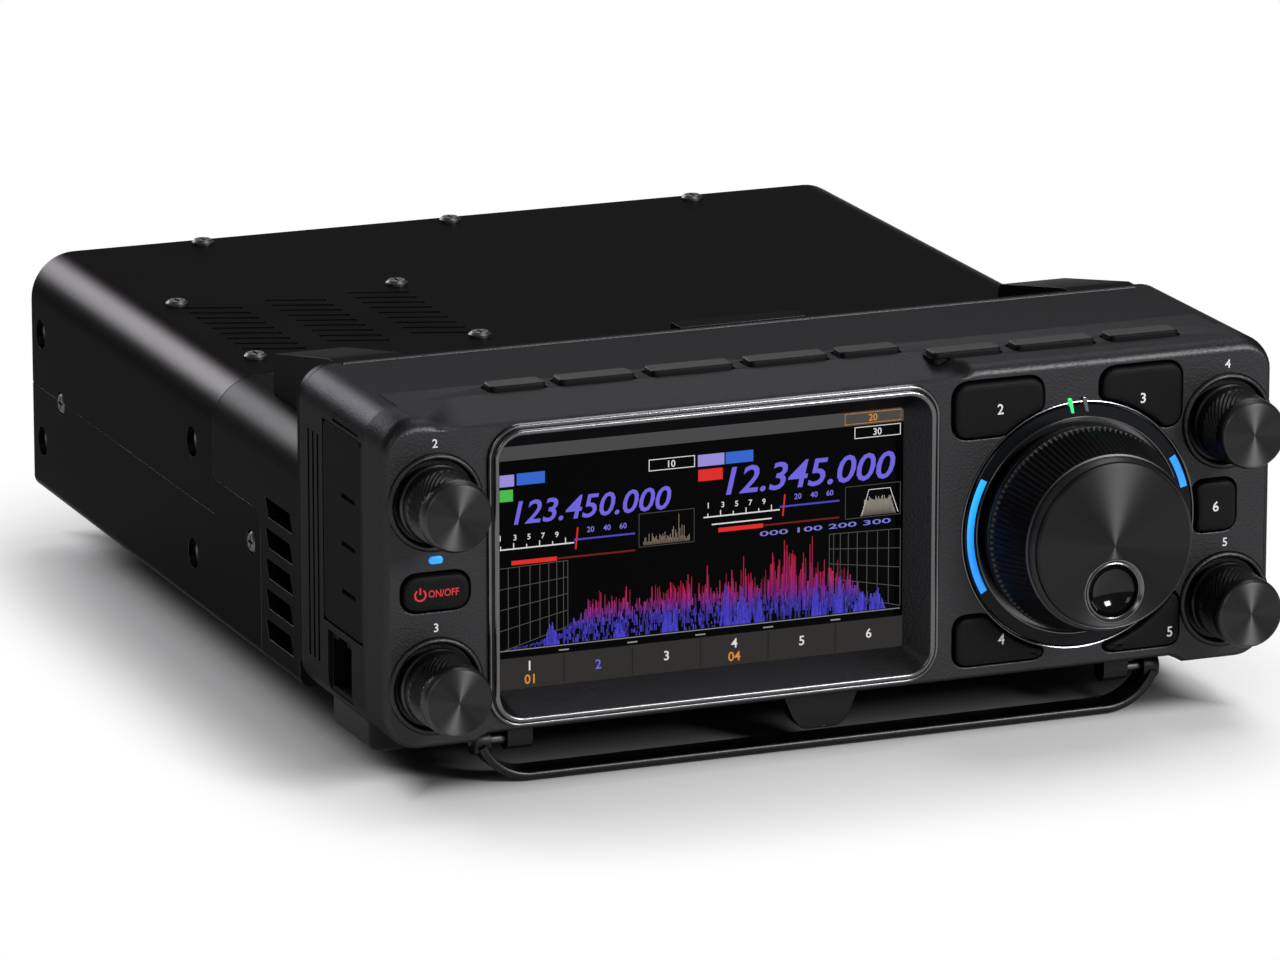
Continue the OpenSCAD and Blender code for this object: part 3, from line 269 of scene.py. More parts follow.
class Shell:
    """Grids and flat regions of one piece, in local millimetres."""

    def __init__(self):
        self.points = []
        self.faces = []
        self.count = 0

    def add(self, points, faces):
        """Takes in points and the faces between them."""
        points = np.asarray(points, float).reshape(-1, 3)
        self.points.append(points)
        self.faces.extend((np.asarray(faces) + self.count).tolist())
        self.count += len(points)

    def grid(self, surface, ring=False):
        """Quads over surface[row, column]: each row is closed, and ring joins the last row to the first."""
        rows, cols = surface.shape[:2]
        i = np.arange(rows if ring else rows - 1)
        j = np.arange(cols)
        a, b = (m.ravel() for m in np.meshgrid(i, j, indexing="ij"))
        c, d = (a + 1) % rows, (b + 1) % cols
        self.add(surface, np.stack([a * cols + b, a * cols + d, c * cols + d, c * cols + b], -1))

    def cap(self, *loops):
        """Fills the flat region inside the first loop and outside the others."""
        triangles = tessellate_polygon([[Vector(p) for p in loop] for loop in loops])
        self.add(np.concatenate(loops), triangles)

    def sweep(self, rows):
        """Joins closed sections, one in each row, and fills both ends."""
        self.grid(rows)
        self.cap(rows[0])
        self.cap(rows[-1])

    def loft(self, loop, plane, section, caps=True):
        """Carries a section of (inset, height) pairs round a loop, and fills both ends if asked."""
        out = outward(loop)
        rings = np.stack([lay(plane, loop - out * inset, height) for inset, height in section])
        if caps:
            self.sweep(rings)
        else:
            self.grid(rings)
        return rings

    def revolve(self, x, z, section, count, ripple=None, ring=False):
        """Turns (radius, depth) pairs about a depth axis at x and z; ripple adds to the radius."""
        r, f = np.array(section, float).T
        angle = np.linspace(0, 2 * math.pi, count, endpoint=False)[None]
        radius = r[:, None] + (ripple(angle, f[:, None]) if ripple else 0 * angle)
        depth = f[:, None] + 0 * angle
        self.grid(np.stack([x + radius * np.cos(angle), depth, z + radius * np.sin(angle)], -1), ring=ring)

    def build(self, name, body, look, slot, replaces=(), sharp=32):
        """Makes the piece: merged, closed and with its faces outwards."""
        mesh = bpy.data.meshes.new(name)
        mesh.from_pydata(to_metres(np.concatenate(self.points)).tolist(), [], self.faces)
        work = bmesh.new()
        work.from_mesh(mesh)
        bmesh.ops.remove_doubles(work, verts=work.verts, dist=MERGE)
        bmesh.ops.recalc_face_normals(work, faces=work.faces)
        settle(work, mesh, body, look, replaces, sharp)


def settle(work, mesh, body, look, replaces, sharp):
    """Turns a bmesh into a finished piece that is smooth up to the sharp angle."""
    for face in work.faces:
        face.smooth = True
    for edge in work.edges:
        if edge.smooth and edge.is_manifold:
            edge.smooth = edge.calc_face_angle(0) < math.radians(sharp)
    work.to_mesh(mesh)
    work.free()
    enlist(mesh, body, look, replaces)


def enlist(mesh, body, look, replaces=()):
    """Makes an object of a finished mesh, on its body, in place of the CAD nodes named."""
    mesh.materials.append(look)
    piece = bpy.data.objects.new(mesh.name, mesh)
    bpy.context.scene.collection.objects.link(piece)
    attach(piece, body)
    if replaces:
        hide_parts(*replaces)


def eased_copy(node, body, look, width):
    """Copy of a CAD node in its place: facets joined, sharp outer edges rounded and shaded apart."""
    work = bmesh.new()
    work.from_mesh(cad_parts[node].data)
    bmesh.ops.remove_doubles(work, verts=work.verts, dist=MERGE)
    bmesh.ops.dissolve_limit(work, angle_limit=math.radians(FLAT_TURN), verts=work.verts, edges=work.edges)
    least = math.radians(EDGE_TURN)
    outer = [e for e in work.edges if e.is_manifold and e.is_convex and e.calc_face_angle(0) > least]
    made = bmesh.ops.bevel(work, geom=outer, offset=width * 0.001, offset_type="OFFSET", segments=3,
                           profile=0.5, affect="EDGES", clamp_overlap=True)
    strip = set(made["faces"])
    for edge in {e for face in strip for e in face.edges}:
        if any(face not in strip for face in edge.link_faces):
            edge.smooth = False
    settle(work, bpy.data.meshes.new(node + "_eased"), body, look, [node], 30)


# Shader nodes, shared groups and finishes.


def feed(tree, node, inputs):
    """Sets inputs of a node: a value is written, and an output of another node is linked."""
    for key, value in inputs.items():
        if isinstance(value, bpy.types.NodeSocket):
            tree.links.new(value, node.inputs[key])
        else:
            node.inputs[key].default_value = value


def add(tree, kind, inputs, **settings):
    """New shader node with its settings and inputs. Gives its outputs."""
    node = tree.nodes.new("ShaderNode" + kind)
    for key, value in settings.items():
        setattr(node, key, value)
    feed(tree, node, inputs)
    return node.outputs


def maths(tree, operation, *values):
    """Result of a maths node over values or outputs."""
    return add(tree, "Math", dict(enumerate(values)), operation=operation)[0]


def vectors(tree, operation, *values, result=0):
    """Result of a vector maths node over vectors or outputs."""
    return add(tree, "VectorMath", dict(enumerate(values)), operation=operation)[result]


def scaled(tree, colour, share):
    """Colour times a share."""
    return add(tree, "VectorMath", {0: colour, "Scale": share}, operation="SCALE")[0]


def ramp(tree, value, low, high, start=0.0, end=1.0, kind="LINEAR"):
    """Value carried over from the stretch between start and end to the one between low and high."""
    ends = {"Value": value, "From Min": start, "From Max": end, "To Min": low, "To Max": high}
    return add(tree, "MapRange", ends, interpolation_type=kind)[0]


def rgba(colour, gain):
    """Colour times a gain, with full cover."""
    return (*(c * gain for c in colour), 1)


def mixed(tree, share, low, high):
    """Colour between low and high by a share."""
    return add(tree, "Mix", {0: share, 6: low, 7: high}, data_type="RGBA")[2]


def new_group(name, inputs, outputs):
    """Shader group with its inputs: a float has a default and a vector has none. Its outputs are floats."""
    group = bpy.data.node_groups.new(name, "ShaderNodeTree")
    for label, default in inputs.items():
        kind = "NodeSocketVector" if default is None else "NodeSocketFloat"
        made = group.interface.new_socket(label, in_out="INPUT", socket_type=kind)
        if default is not None:
            made.default_value = default
    for label in outputs:
        group.interface.new_socket(label, in_out="OUTPUT", socket_type="NodeSocketFloat")
    return group, group.nodes.new("NodeGroupInput").outputs, group.nodes.new("NodeGroupOutput")


def grain_group():
    """Paint grain: fine bumps, and a shade mixed from them and from soft patches, by two noises."""
    tree, source, sink = new_group("Paint grain", {"Vector": None, "Fine": 2500.0, "Patch": 30.0},
                                   ("Height", "Shade"))
    fine = add(tree, "TexNoise", {"Vector": source["Vector"], "Scale": source["Fine"], "Detail": 3.0})[0]
    patch = add(tree, "TexNoise", {"Vector": source["Vector"], "Scale": source["Patch"], "Detail": 4.0})[0]
    shade = add(tree, "Mix", {0: 0.45, 2: patch, 3: fine})[0]
    feed(tree, sink, {"Height": fine, "Shade": shade})
    return tree


def turned_group():
    """Turned metal: fine rings about an axis along the depth, from noise on the distance to the axis."""
    tree, source, sink = new_group("Turned rings", {"Vector": None, "Rings": 9000.0}, ("Height", "Shade"))
    flat = vectors(tree, "MULTIPLY", source["Vector"], (1, 0, 1))
    reach = vectors(tree, "LENGTH", flat, result="Value")
    values = {"W": reach, "Scale": source["Rings"], "Detail": 2.0}
    rings = add(tree, "TexNoise", values, noise_dimensions="1D")[0]
    feed(tree, sink, {"Height": rings, "Shade": rings})
    return tree


def edge_group():
    """Edge mask for the painted highlight: 0 where the normal lies along an axis, 1 well away from all three,
    as on rounded edges.
    """
    tree, source, sink = new_group("Edge mask", {"Normal": None}, ("Mask",))
    parts = add(tree, "SeparateXYZ", {0: vectors(tree, "ABSOLUTE", source["Normal"])})
    largest = maths(tree, "MAXIMUM", maths(tree, "MAXIMUM", parts[0], parts[1]), parts[2])
    feed(tree, sink, {"Mask": ramp(tree, largest, 0.0, 1.0, 0.99, 0.82, "SMOOTHSTEP")})
    return tree


GROUP_MAKERS = {"grain": grain_group, "turned": turned_group, "edge": edge_group}
GROUPS = {}


def shared(tree, kind, inputs):
    """Places a shared group, made on first use, in a material. Gives its outputs."""
    if kind not in GROUPS:
        GROUPS[kind] = GROUP_MAKERS[kind]()
    return add(tree, "Group", inputs, node_tree=GROUPS[kind])


def start(name):
    """New material with its node tree, its shader and its coordinates."""
    material = bpy.data.materials.new(name)
    material.use_nodes = True
    tree = material.node_tree
    return material, tree, tree.nodes["Principled BSDF"], add(tree, "TexCoord", {})


def shade_and_bump(tree, shader, grain, colour, spread, rough, rough_spread, bump, metres):
    """Feeds a group's shade to colour and roughness, and its height to a bump. Gives the colour."""
    tint = mixed(tree, grain["Shade"], rgba(colour, 1 - spread), rgba(colour, 1 + spread))
    dull = ramp(tree, grain["Shade"], rough - rough_spread, rough + rough_spread)
    relief = add(tree, "Bump", {"Height": grain["Height"], "Strength": bump, "Distance": metres})[0]
    feed(tree, shader, {"Base Color": tint, "Roughness": dull, "Normal": relief})
    return tint


# Colour, roughness, metallic, specular level, edge tint, grain scale and bump strength.
FINISHES = {
    "panel_paint": ((0.036, 0.036, 0.038), 0.43, 1.0, 0.5, 0.45, 1700, 1.0),
    "head_paint": ((0.026, 0.026, 0.0275), 0.43, 1.0, 0.5, 0.46, 1700, 1.0),
    "case_plastic": ((0.023, 0.023, 0.024), 0.48, 1.0, 0.5, 0.42, 2600, 0.3),
    "trim_edge": ((0.13, 0.13, 0.134), 0.24, 1.0, 0.5, 0.5, 3000, 0.05),
    "cover_paint": ((0.0265, 0.0258, 0.0262), 0.36, 1.0, 0.5, 0.383, 2200, 0.3),
    "frame_paint": ((0.024, 0.0235, 0.0238), 0.40, 1.0, 0.5, 0.408, 2400, 0.3),
    "key_rubber": ((0.0045, 0.0045, 0.005), 0.5, 0.0, 0.07, 1.0, 2600, 0.2),
    "soft_rubber": ((0.006, 0.006, 0.006), 0.55, 0.0, 0.12, 1.0, 2000, 0.3),
    "grip_plastic": ((0.055, 0.055, 0.057), 0.40, 1.0, 0.5, 0.66, 3000, 0.12),
    "gap_black": ((0.002, 0.002, 0.002), 0.7, 0.0, 0.05, 1.0, 2000, 0.2),
    "gloss_black": ((0.002, 0.002, 0.0022), 0.08, 0.0, 0.3, 1.0, 1500, 0.0),
    "smoke_lens": ((0.003, 0.0035, 0.005), 0.16, 0.0, 0.12, 1.0, 1500, 0.0),
    "screen_glass": ((0.0008, 0.0008, 0.001), 0.07, 0.0, 0.02, 1.0, 1500, 0.0),
    "plated_steel": ((0.42, 0.42, 0.43), 0.3, 1.0, 0.5, 1.0, 4000, 0.1),
    "screw_black": ((0.11, 0.108, 0.106), 0.4, 1.0, 0.5, 0.6, 4000, 0.1),
    "nickel": ((0.5, 0.49, 0.46), 0.25, 1.0, 0.5, 1.0, 3500, 0.08),
    "brass_plate": ((0.55, 0.42, 0.2), 0.3, 1.0, 0.5, 1.0, 3500, 0.08),
    "casting": ((0.06, 0.06, 0.062), 0.5, 1.0, 0.5, 0.5, 1500, 0.5),
    "board_mask": ((0.01, 0.07, 0.03), 0.4, 0.0, 0.5, 1.0, 1200, 0.1),
    "can_metal": ((0.35, 0.35, 0.36), 0.35, 1.0, 0.5, 1.0, 1800, 0.1),
}
# How much lighter the base colour is on rounded edges: a painted highlight.
EDGE_HIGHLIGHT_GAIN = {"cover_paint": 3.2, "head_paint": 2.4, "frame_paint": 2.6}
# Height of the paint grain and of the turned rings, in metres.
GRAIN_HEIGHT = 0.00009
RINGS_HEIGHT = 0.00002
MADE = {}


def finish(name):
    """Moulded, painted or plated finish by its name, made on first use."""
    if name not in MADE:
        colour, rough, metallic, specular, edge, fine, bump = FINISHES[name]
        material, tree, shader, place = start(name)
        feed(tree, shader, {
            "Metallic": metallic, "Specular IOR Level": specular, "Specular Tint": (edge, edge, edge, 1)})
        grain = shared(tree, "grain", {"Vector": place["Object"], "Fine": fine})
        spread = 0.07 if metallic else 0.2
        rough_spread = min(0.05, rough * 0.3)
        tint = shade_and_bump(tree, shader, grain, colour, spread, rough, rough_spread, bump, GRAIN_HEIGHT)
        # Rounded edges get a lighter base colour: a painted highlight along every bevel.
        if name in EDGE_HIGHLIGHT_GAIN:
            mask = shared(tree, "edge", {"Normal": place["Normal"]})["Mask"]
            feed(tree, shader, {"Base Color": mixed(tree, mask, tint, rgba(colour, EDGE_HIGHLIGHT_GAIN[name]))})
        MADE[name] = material
    return MADE[name]


def spun_finish(name, x, z, colour):
    """Spun dark metal: turned rings about x and z, with a radial tangent for the stretched gloss."""
    material, tree, shader, place = start(name)
    centre = add(tree, "Mapping", {"Vector": place["Object"], "Location": tuple(-to_metres([x, 0, z]))})[0]
    rings = shared(tree, "turned", {"Vector": centre})
    shade_and_bump(tree, shader, rings, colour, 0.3, 0.5, 0.05, 0.06, RINGS_HEIGHT)
    tangent = add(tree, "Tangent", {}, direction_type="RADIAL", axis="Y")[0]
    feed(tree, shader, {
        "Metallic": 1.0, "Anisotropic": 0.95, "Anisotropic Rotation": 0.25, "Tangent": tangent})
    return material


def lit_finish(name, colour):
    """Lit light pipe: its glow varies with the paint grain's soft patches."""
    material, tree, shader, place = start(name)
    grain = shared(tree, "grain", {"Vector": place["Object"], "Patch": 120.0})
    glow = mixed(tree, grain["Shade"], rgba(colour, 0.85), rgba(colour, 1.15))
    feed(tree, shader, {
        "Emission Color": glow, "Emission Strength": 1.0, "Base Color": glow, "Roughness": 0.25})
    return material


def painted_tint(tree, share, least):
    """Tint painted on the piece, dimmed by a share down to the least level."""
    tint = add(tree, "Attribute", {}, attribute_name="tint")["Color"]
    return scaled(tree, tint, ramp(tree, share, least, 1.0))


def screen_finish():
    """Lit pixels: the tint painted on the piece, seen through a fine pixel raster."""
    material, tree, shader, place = start("screen_light")
    raster = add(tree, "TexWave", {"Vector": place["Object"], "Scale": 1300.0})["Fac"]
    feed(tree, shader, {
        "Base Color": (0.002, 0.002, 0.002, 1), "Specular IOR Level": 0.1, "Roughness": 0.08,
        "Emission Strength": 1.0, "Emission Color": painted_tint(tree, raster, 0.86)})
    return material


def print_finish():
    """Printed ink: the tint painted on the piece, worn a little by the paint grain."""
    material, tree, shader, place = start("print_ink")
    grain = shared(tree, "grain", {"Vector": place["Object"]})
    feed(tree, shader, {
        "Roughness": 0.5, "Specular IOR Level": 0.2, "Base Color": painted_tint(tree, grain["Shade"], 0.8)})
    return material


def text_points(body, height, bold, slant):
    """Vertices and faces of a line of numbers, scaled to a height, its low left corner at the origin."""
    curve = bpy.data.curves.new("line", "FONT")
    curve.body = body
    curve.shear = slant
    curve.offset = bold
    curve.extrude = 0.004
    curve.resolution_u = 3
    holder = bpy.data.objects.new("line", curve)
    bpy.context.scene.collection.objects.link(holder)
    mesh = holder.evaluated_get(bpy.context.evaluated_depsgraph_get()).to_mesh()
    points = np.zeros(len(mesh.vertices) * 3)
    mesh.vertices.foreach_get("co", points)
    faces = [list(p.vertices) for p in mesh.polygons]
    bpy.data.objects.remove(holder)
    points = points.reshape(-1, 3)
    low, high = points.min(0), points.max(0)
    return (points - low) * (height / (high[1] - low[1])), faces


class Ink:
    """Flat lit or printed marks in front of an origin, each with its own tint."""

    # Corners of a slab's six sides: four at the back, then four in front.
    SLAB = np.array([[3, 2, 1, 0], [4, 5, 6, 7], [0, 1, 5, 4], [1, 2, 6, 5], [2, 3, 7, 6], [3, 0, 4, 7]])

    def __init__(self, x, depth, z):
        self.origin = np.array([x, depth, z])
        self.points = []
        self.faces = []
        self.tints = []
        self.count = 0

    def add(self, points, faces, tints):
        """Takes in points, the faces between them and their tints."""
        self.points.append(points)
        self.tints.append(np.broadcast_to(np.asarray(tints, float), (len(points), 3)))
        self.faces.extend([[i + self.count for i in face] for face in faces])
        self.count += len(points)

    def bars(self, corners, low, high, thick=0.02):
        """Slabs from (n, 4, 2) counterclockwise corners: low tints the first two corners, high the others."""
        corners = np.asarray(corners, float)
        n = len(corners)
        flat = np.concatenate([corners, corners], 1)
        rise = np.repeat([[0.0] * 4 + [thick] * 4], n, 0)
        points = np.concatenate([flat, rise[..., None]], -1).reshape(-1, 3)
        faces = (self.SLAB[None] + 8 * np.arange(n)[:, None, None]).reshape(-1, 4)
        low, high = (np.broadcast_to(np.asarray(c, float), (n, 3)) for c in (low, high))
        tints = np.stack([low, low, high, high] * 2, 1).reshape(-1, 3)
        self.add(points, faces.tolist(), tints)

    def box(self, u0, u1, v0, v1, tint, thick=0.02):
        """One upright slab."""
        self.bars([[(u0, v0), (u1, v0), (u1, v1), (u0, v1)]], tint, tint, thick)

    def outline(self, u0, u1, v0, v1, line, tint):
        """Four thin bars round a box."""
        self.box(u0, u1, v0, v0 + line, tint)
        self.box(u0, u1, v1 - line, v1, tint)
        self.box(u0, u0 + line, v0 + line, v1 - line, tint)
        self.box(u1 - line, u1, v0 + line, v1 - line, tint)

    def stroke(self, a, b, line, tint):
        """Straight line from a to b."""
        a, b = np.array(a, float), np.array(b, float)
        side = np.array([a[1] - b[1], b[0] - a[0]])
        side *= line / 2 / np.linalg.norm(side)
        self.bars([[a - side, b - side, b + side, a + side]], tint, tint)

    def ring(self, u, v, r, line, first, last, tint):
        """Round line from one angle to another, in degrees."""
        inner, outer = (arc(u, v, r + side * line / 2, first, last, 33) for side in (-1, 1))
        self.bars(np.stack([inner[:-1], inner[1:], outer[1:], outer[:-1]], 1)[:, ::-1], tint, tint)

    def number(self, body, u, v, height, tint, width=None, bold=0.012, slant=0.0, centre=False):
        """Plain numbers at u and v, stretched to a width if one is given."""
        points, faces = text_points(body, height, bold, slant)
        span = points[:, 0].max()
        if width:
            points[:, 0] *= width / span
            span = width
        left = u - span / 2 if centre else u
        self.add(points * (1, 1, 0.5) + (left, v, 0.03), faces, tint)

    def build(self, name, body, look, slot):
        """Makes the piece, with its tints as an attribute."""
        points = np.concatenate(self.points)
        mesh = bpy.data.meshes.new(name)
        mesh.from_pydata(to_metres(self.origin + points[:, [0, 2, 1]] * (1, -1, 1)).tolist(), [], self.faces)
        paint = mesh.attributes.new("tint", "FLOAT_COLOR", "POINT")
        tints = np.concatenate([np.concatenate(self.tints), np.ones((len(points), 1))], 1)
        paint.data.foreach_set("color", tints.astype(np.float32).ravel())
        work = bmesh.new()
        work.from_mesh(mesh)
        bmesh.ops.recalc_face_normals(work, faces=work.faces)
        work.to_mesh(mesh)
        work.free()
        enlist(mesh, body, look)


# Outlines of the front.


def top_stops():
    """Places along the top edge at which the panel and its shelf have a column."""
    ends = [SHELF_X - 0.06, 0.06 - SHELF_X]
    return np.unique(np.concatenate([np.linspace(-SHELF_X, SHELF_X, 241), ends]))


def recess_share(x, s):
    """Share of the recess along the top: 1 over the display, 0 beyond the blends, smooth steps between."""
    return smooth((x - SCOOP_X[0]) / s.blend_left + 1) * smooth((SCOOP_X[1] - x) / s.blend_right + 1)


def crest_depth(x, s):
    """Depth at which the rolled edge or the recess meets the flat top."""
    share = recess_share(x, s)
    return s.top_depth * (1 - share) + s.scoop_depth * share


def head_loop():
    """Silhouette of the head: quarter arcs at the corners, and a low edge with a smooth step at the stand."""
    r = HEAD_CORNER
    x, z = HALF_W - r, HEAD_H - r
    stops = top_stops()
    top = np.stack([stops[::-1], np.full(len(stops), HEAD_H)], -1)
    low_x = np.linspace(-HALF_W + r, HALF_W - r, 121)
    low = np.stack([low_x, RELIEF_Z * smooth((RELIEF_X - np.abs(low_x)) / 3)], -1)
    centres = ((x, z), (-HALF_W + r, z), (-HALF_W + r, r), (x, r))
    corners = [arc(*at, r, 90 * k, 90 * k + 90, 12)[1:-1] for k, at in enumerate(centres)]
    right = np.array([[HALF_W, r], [HALF_W, z]])
    left = np.array([[-HALF_W, z], [-HALF_W, r]])
    return np.concatenate([right, corners[0], top, corners[1], left, corners[2], low, corners[3]])


def key_loop(name, grow=0.0):
    """Outline of a face key: a rounded box pushed out of a circle round the dial, softened and grown."""
    low, high = local_box(name)
    x0, z0 = low[[0, 2]] + KEY_FLANGE
    x1, z1 = high[[0, 2]] - KEY_FLANGE
    loop = resample(round_rect(x0, x1, z0, z1, 3 if name in WIDE_KEYS else 2.5), 200)
    if name in ARC_KEYS:
        away = loop - DIAL
        reach = np.linalg.norm(away, axis=1, keepdims=True)
        loop = np.where(reach < KEY_ARC, DIAL + away / reach * KEY_ARC, loop)
    loop = soften(resample(loop, 120), 5)
    return loop + outward(loop) * grow


def top_key_loop(name, grow=0.0):
    """Outline of a top key seen from above."""
    low, high = local_box(name)
    pad = TOP_KEY_FLANGE - grow
    return round_rect(low[0] + pad, high[0] - pad, low[1] + pad, high[1] - pad, 1.2 + grow, 6)


def panel_sections(loop, s):
    """Insets and depths of the panel's skin, from the face to its back, at each point of the silhouette.

    Sides, corners and lower edge follow quarter ellipses. The top follows an arc of 68 degrees up to a
    crease, or over the display the straight floor of the recess, mixed by the share of the recess.
    """
    facing, x = outward(loop)[:, 1], loop[:, 0]
    top, low = np.clip(facing, 0, 1) ** 2, np.clip(-facing, 0, 1) ** 2
    side = 1 - top - low
    width = side * s.side_round + low * s.low_round
    depth = side * s.side_depth + low * s.low_depth
    flat = (facing > 0.999) & (np.abs(x) < SHELF_X - 0.05)
    step = np.linspace(0, 1, 19)[:, None]
    turn, end = step * math.pi / 2, math.radians(68)
    share = np.where(flat, recess_share(x, s), 0)
    lip = np.clip(1 - step * 18, 0, 1)
    roll_in = s.top_round * (1 - np.sin(end * step) / math.sin(end))
    roll_back = s.top_depth * (1 - np.cos(end * step)) / (1 - math.cos(end))
    scoop_in = s.scoop_drop * (1 - step) + 0.25 * lip
    inset = width * (1 - np.sin(turn)) + top * (roll_in * (1 - share) + scoop_in * share)
    back = depth * (1 - np.cos(turn)) + top * (roll_back * (1 - share) + s.scoop_depth * step * share)
    # The skin then turns in to the inner side of the face, further under the top, and ends there.
    under = side * 1.3 + top * 3.1 + low * 1.9
    ends = np.where(flat, crest_depth(x, s) + 0.05, BEZEL_D)
    tail_in = [np.where(flat, 0.02, 0.0), np.where(flat, 2.2, 2.4), under, under + 0.1]
    tail_back = [np.where(flat, ends - 0.05, BEZEL_D), ends, 0 * x + FACE_T, 0 * x + FACE_T]
    # A first ring just inside the face edge keeps the shading of the flat face off the rounding.
    inset = np.concatenate([inset[:1] + 0.08, inset, tail_in])
    back = np.concatenate([back[:1], back, tail_back])
    return inset, back


class TRANSCEIVER_OT_panel(bpy.types.Operator):
    """Front panel: a pierced flat face whose edge rolls over into the sides, the top and the recess."""

    bl_idname = "transceiver.panel"
    bl_label = "Front panel"

    # Inset and drop of the rounded rims of holes in the face and of slots in the shelf.
    HOLE_RIM = ((-0.08, 0), (0, 0), (0.09, 0.02), (0.2, 0.1), (0.28, 0.2), (HOLE_EXTRA, 0.35),
                (HOLE_EXTRA, FACE_T))
    SLOT_RIM = ((0, 0), (0.1, 0.03), (0.17, 0.09), (SLOT_EXTRA, 0.2), (SLOT_EXTRA, SHELF_T))

    def execute(self, context):
        s = context.scene.transceiver_panel
        self.face(s)
        self.shelf(s)
        self.lugs()
        return {"FINISHED"}

    def face(self, s):
        """Flat face with holes for display, dial, knobs and keys, and the skin round it.

        Each ring of the skin is the silhouette moved in by an inset and back by a depth of its own.
        """
        shell = Shell()
        loop = head_loop()
        out = outward(loop)
        inset, back = panel_sections(loop, s)
        skin = np.stack([lay("front", loop - out * i[:, None], -b) for i, b in zip(inset, back)])
        shell.grid(skin)
        x0, z0 = FRAME_LOW[[0, 2]] + (1.2, 2)
        x1, z1 = FRAME_HIGH[[0, 2]] - (1.2, 2)
        holes = [round_rect(x0, x1, z0, z1, 7), circle(*DIAL, RING_R + 0.5, 128)]
        holes += [circle(*middle("knob_" + k), KNOB_HOLE, 64) for k in KNOBS]
        holes += [key_loop(k, s.key_gap + HOLE_EXTRA) for k in FACE_KEYS]
        section = [(i, -drop) for i, drop in self.HOLE_RIM]
        rims = [shell.loft(hole, "front", section, False) for hole in holes]
        shell.cap(skin[0], *(rim[0] for rim in rims))
        shell.cap(skin[-1], *(rim[-1] for rim in rims))
        shell.build("front_panel_shell", "deck", finish("panel_paint"), "panel", ["front_panel"], 40)

    def shelf(self, s):
        """Top of the panel: a plate from the roll or recess to the rear case, open round the top keys."""
        shell = Shell()
        x = np.concatenate([[-SHELF_X - 0.6], top_stops(), [SHELF_X + 0.6]])
        front = np.stack([x, crest_depth(x, s)], -1)
        edge = np.array([(SHELF_X + 0.6, BEZEL_D), (SHELF_X, BEZEL_D), (SHELF_X, SHELF_Y)])
        border = np.concatenate([front, edge, edge[::-1] * (-1, 1)])
        plate = np.stack([lay("top", border, HEAD_H), lay("top", border, HEAD_H - SHELF_T)])
        shell.grid(plate)
        section = [(i, HEAD_H - drop) for i, drop in self.SLOT_RIM]
        slots = [top_key_loop(name, s.key_gap + SLOT_EXTRA) for name in TOP_KEYS]
        rims = [shell.loft(slot, "top", section, False) for slot in slots]
        shell.cap(plate[0], *(rim[0] for rim in rims))
        shell.cap(plate[1], *(rim[-1] for rim in rims))
        shell.build("panel_shelf", "deck", finish("panel_paint"), "panel", (), 30)

    def lugs(self):
        """Hinge lugs and the guide lug under the panel: outlines with rounded low ends, extruded."""
        shell = Shell()
        y, z = middle("stand_pivots", 1)
        x = local_box("stand_pivots")[1][0] - 11.2
        root = RELIEF_Z + 0.4
        lug = np.concatenate([[(y + LUG_R, root), (y - LUG_R, root)], arc(y, z, LUG_R, 180, 360, 17)])
        for side in (-1, 1):
            shell.sweep(np.stack([lay("right", lug, side * x + half) for half in (-LUG_HALF, LUG_HALF)]))
        right = np.array([(4, z - 5.6), (5, z - 5.2), (6.8, z - 3), (10, root)])
        guide = soften(resample(np.concatenate([right[::-1] * (-1, 1), right]), 120), 6)
        shell.loft(guide, "front", [(0, -y - 2.3), (0, -y + 1.9)] + quarter(0.4, -y + 2.3, 4))
        shell.build("panel_lugs", "deck", finish("frame_paint"), "panel")


class TRANSCEIVER_OT_wells(bpy.types.Operator):
    """Lipped wells of the knobs, and the sunk well of the dial with a thin edge inside its light ring."""

    bl_idname = "transceiver.wells"
    bl_label = "Knob and dial wells"

    # Radius and depth of a knob well's floor and rounded lip.
    LIP = ((4.5, 1.0), (9.75, 1.0), (9.75, -0.1), (9.82, -0.45), (10.02, -0.75), (10.3, -0.88), (10.6, -0.86),
           (10.95, -0.68), (11.2, -0.3), (11.32, 0.2), (11.35, 0.9), (11.2, 1.5), (4.5, 1.5))

    def execute(self, context):
        shell = Shell()
        for place in KNOBS:
            shell.revolve(*middle("knob_" + place), self.LIP, 128, ring=True)
        shell.build("knob_wells", "deck", finish("panel_paint"), "panel")
        shell = Shell()
        r = RING_R + 0.22
        well = [(5.5, 1.4), (r, 1.4), (r, -0.05), (r + 0.1, -0.2), (r + 0.3, -0.28), (r + 0.5, -0.2),
                (r + 0.62, 0.05), (r + 0.62, 1.9), (5.5, 1.9)]
        shell.revolve(*DIAL, well, 192, ring=True)
        r = RING_IN
        edge = [(r - 0.1, 1.1), (r - 0.1, -0.5), (r, -0.62), (r + 0.16, -0.62), (r + 0.26, -0.5),
                (r + 0.26, 1.1)]
        shell.revolve(*DIAL, edge, 192, ring=True)
        shell.build("dial_well", "deck", finish("trim_edge"), "panel")
        return {"FINISHED"}


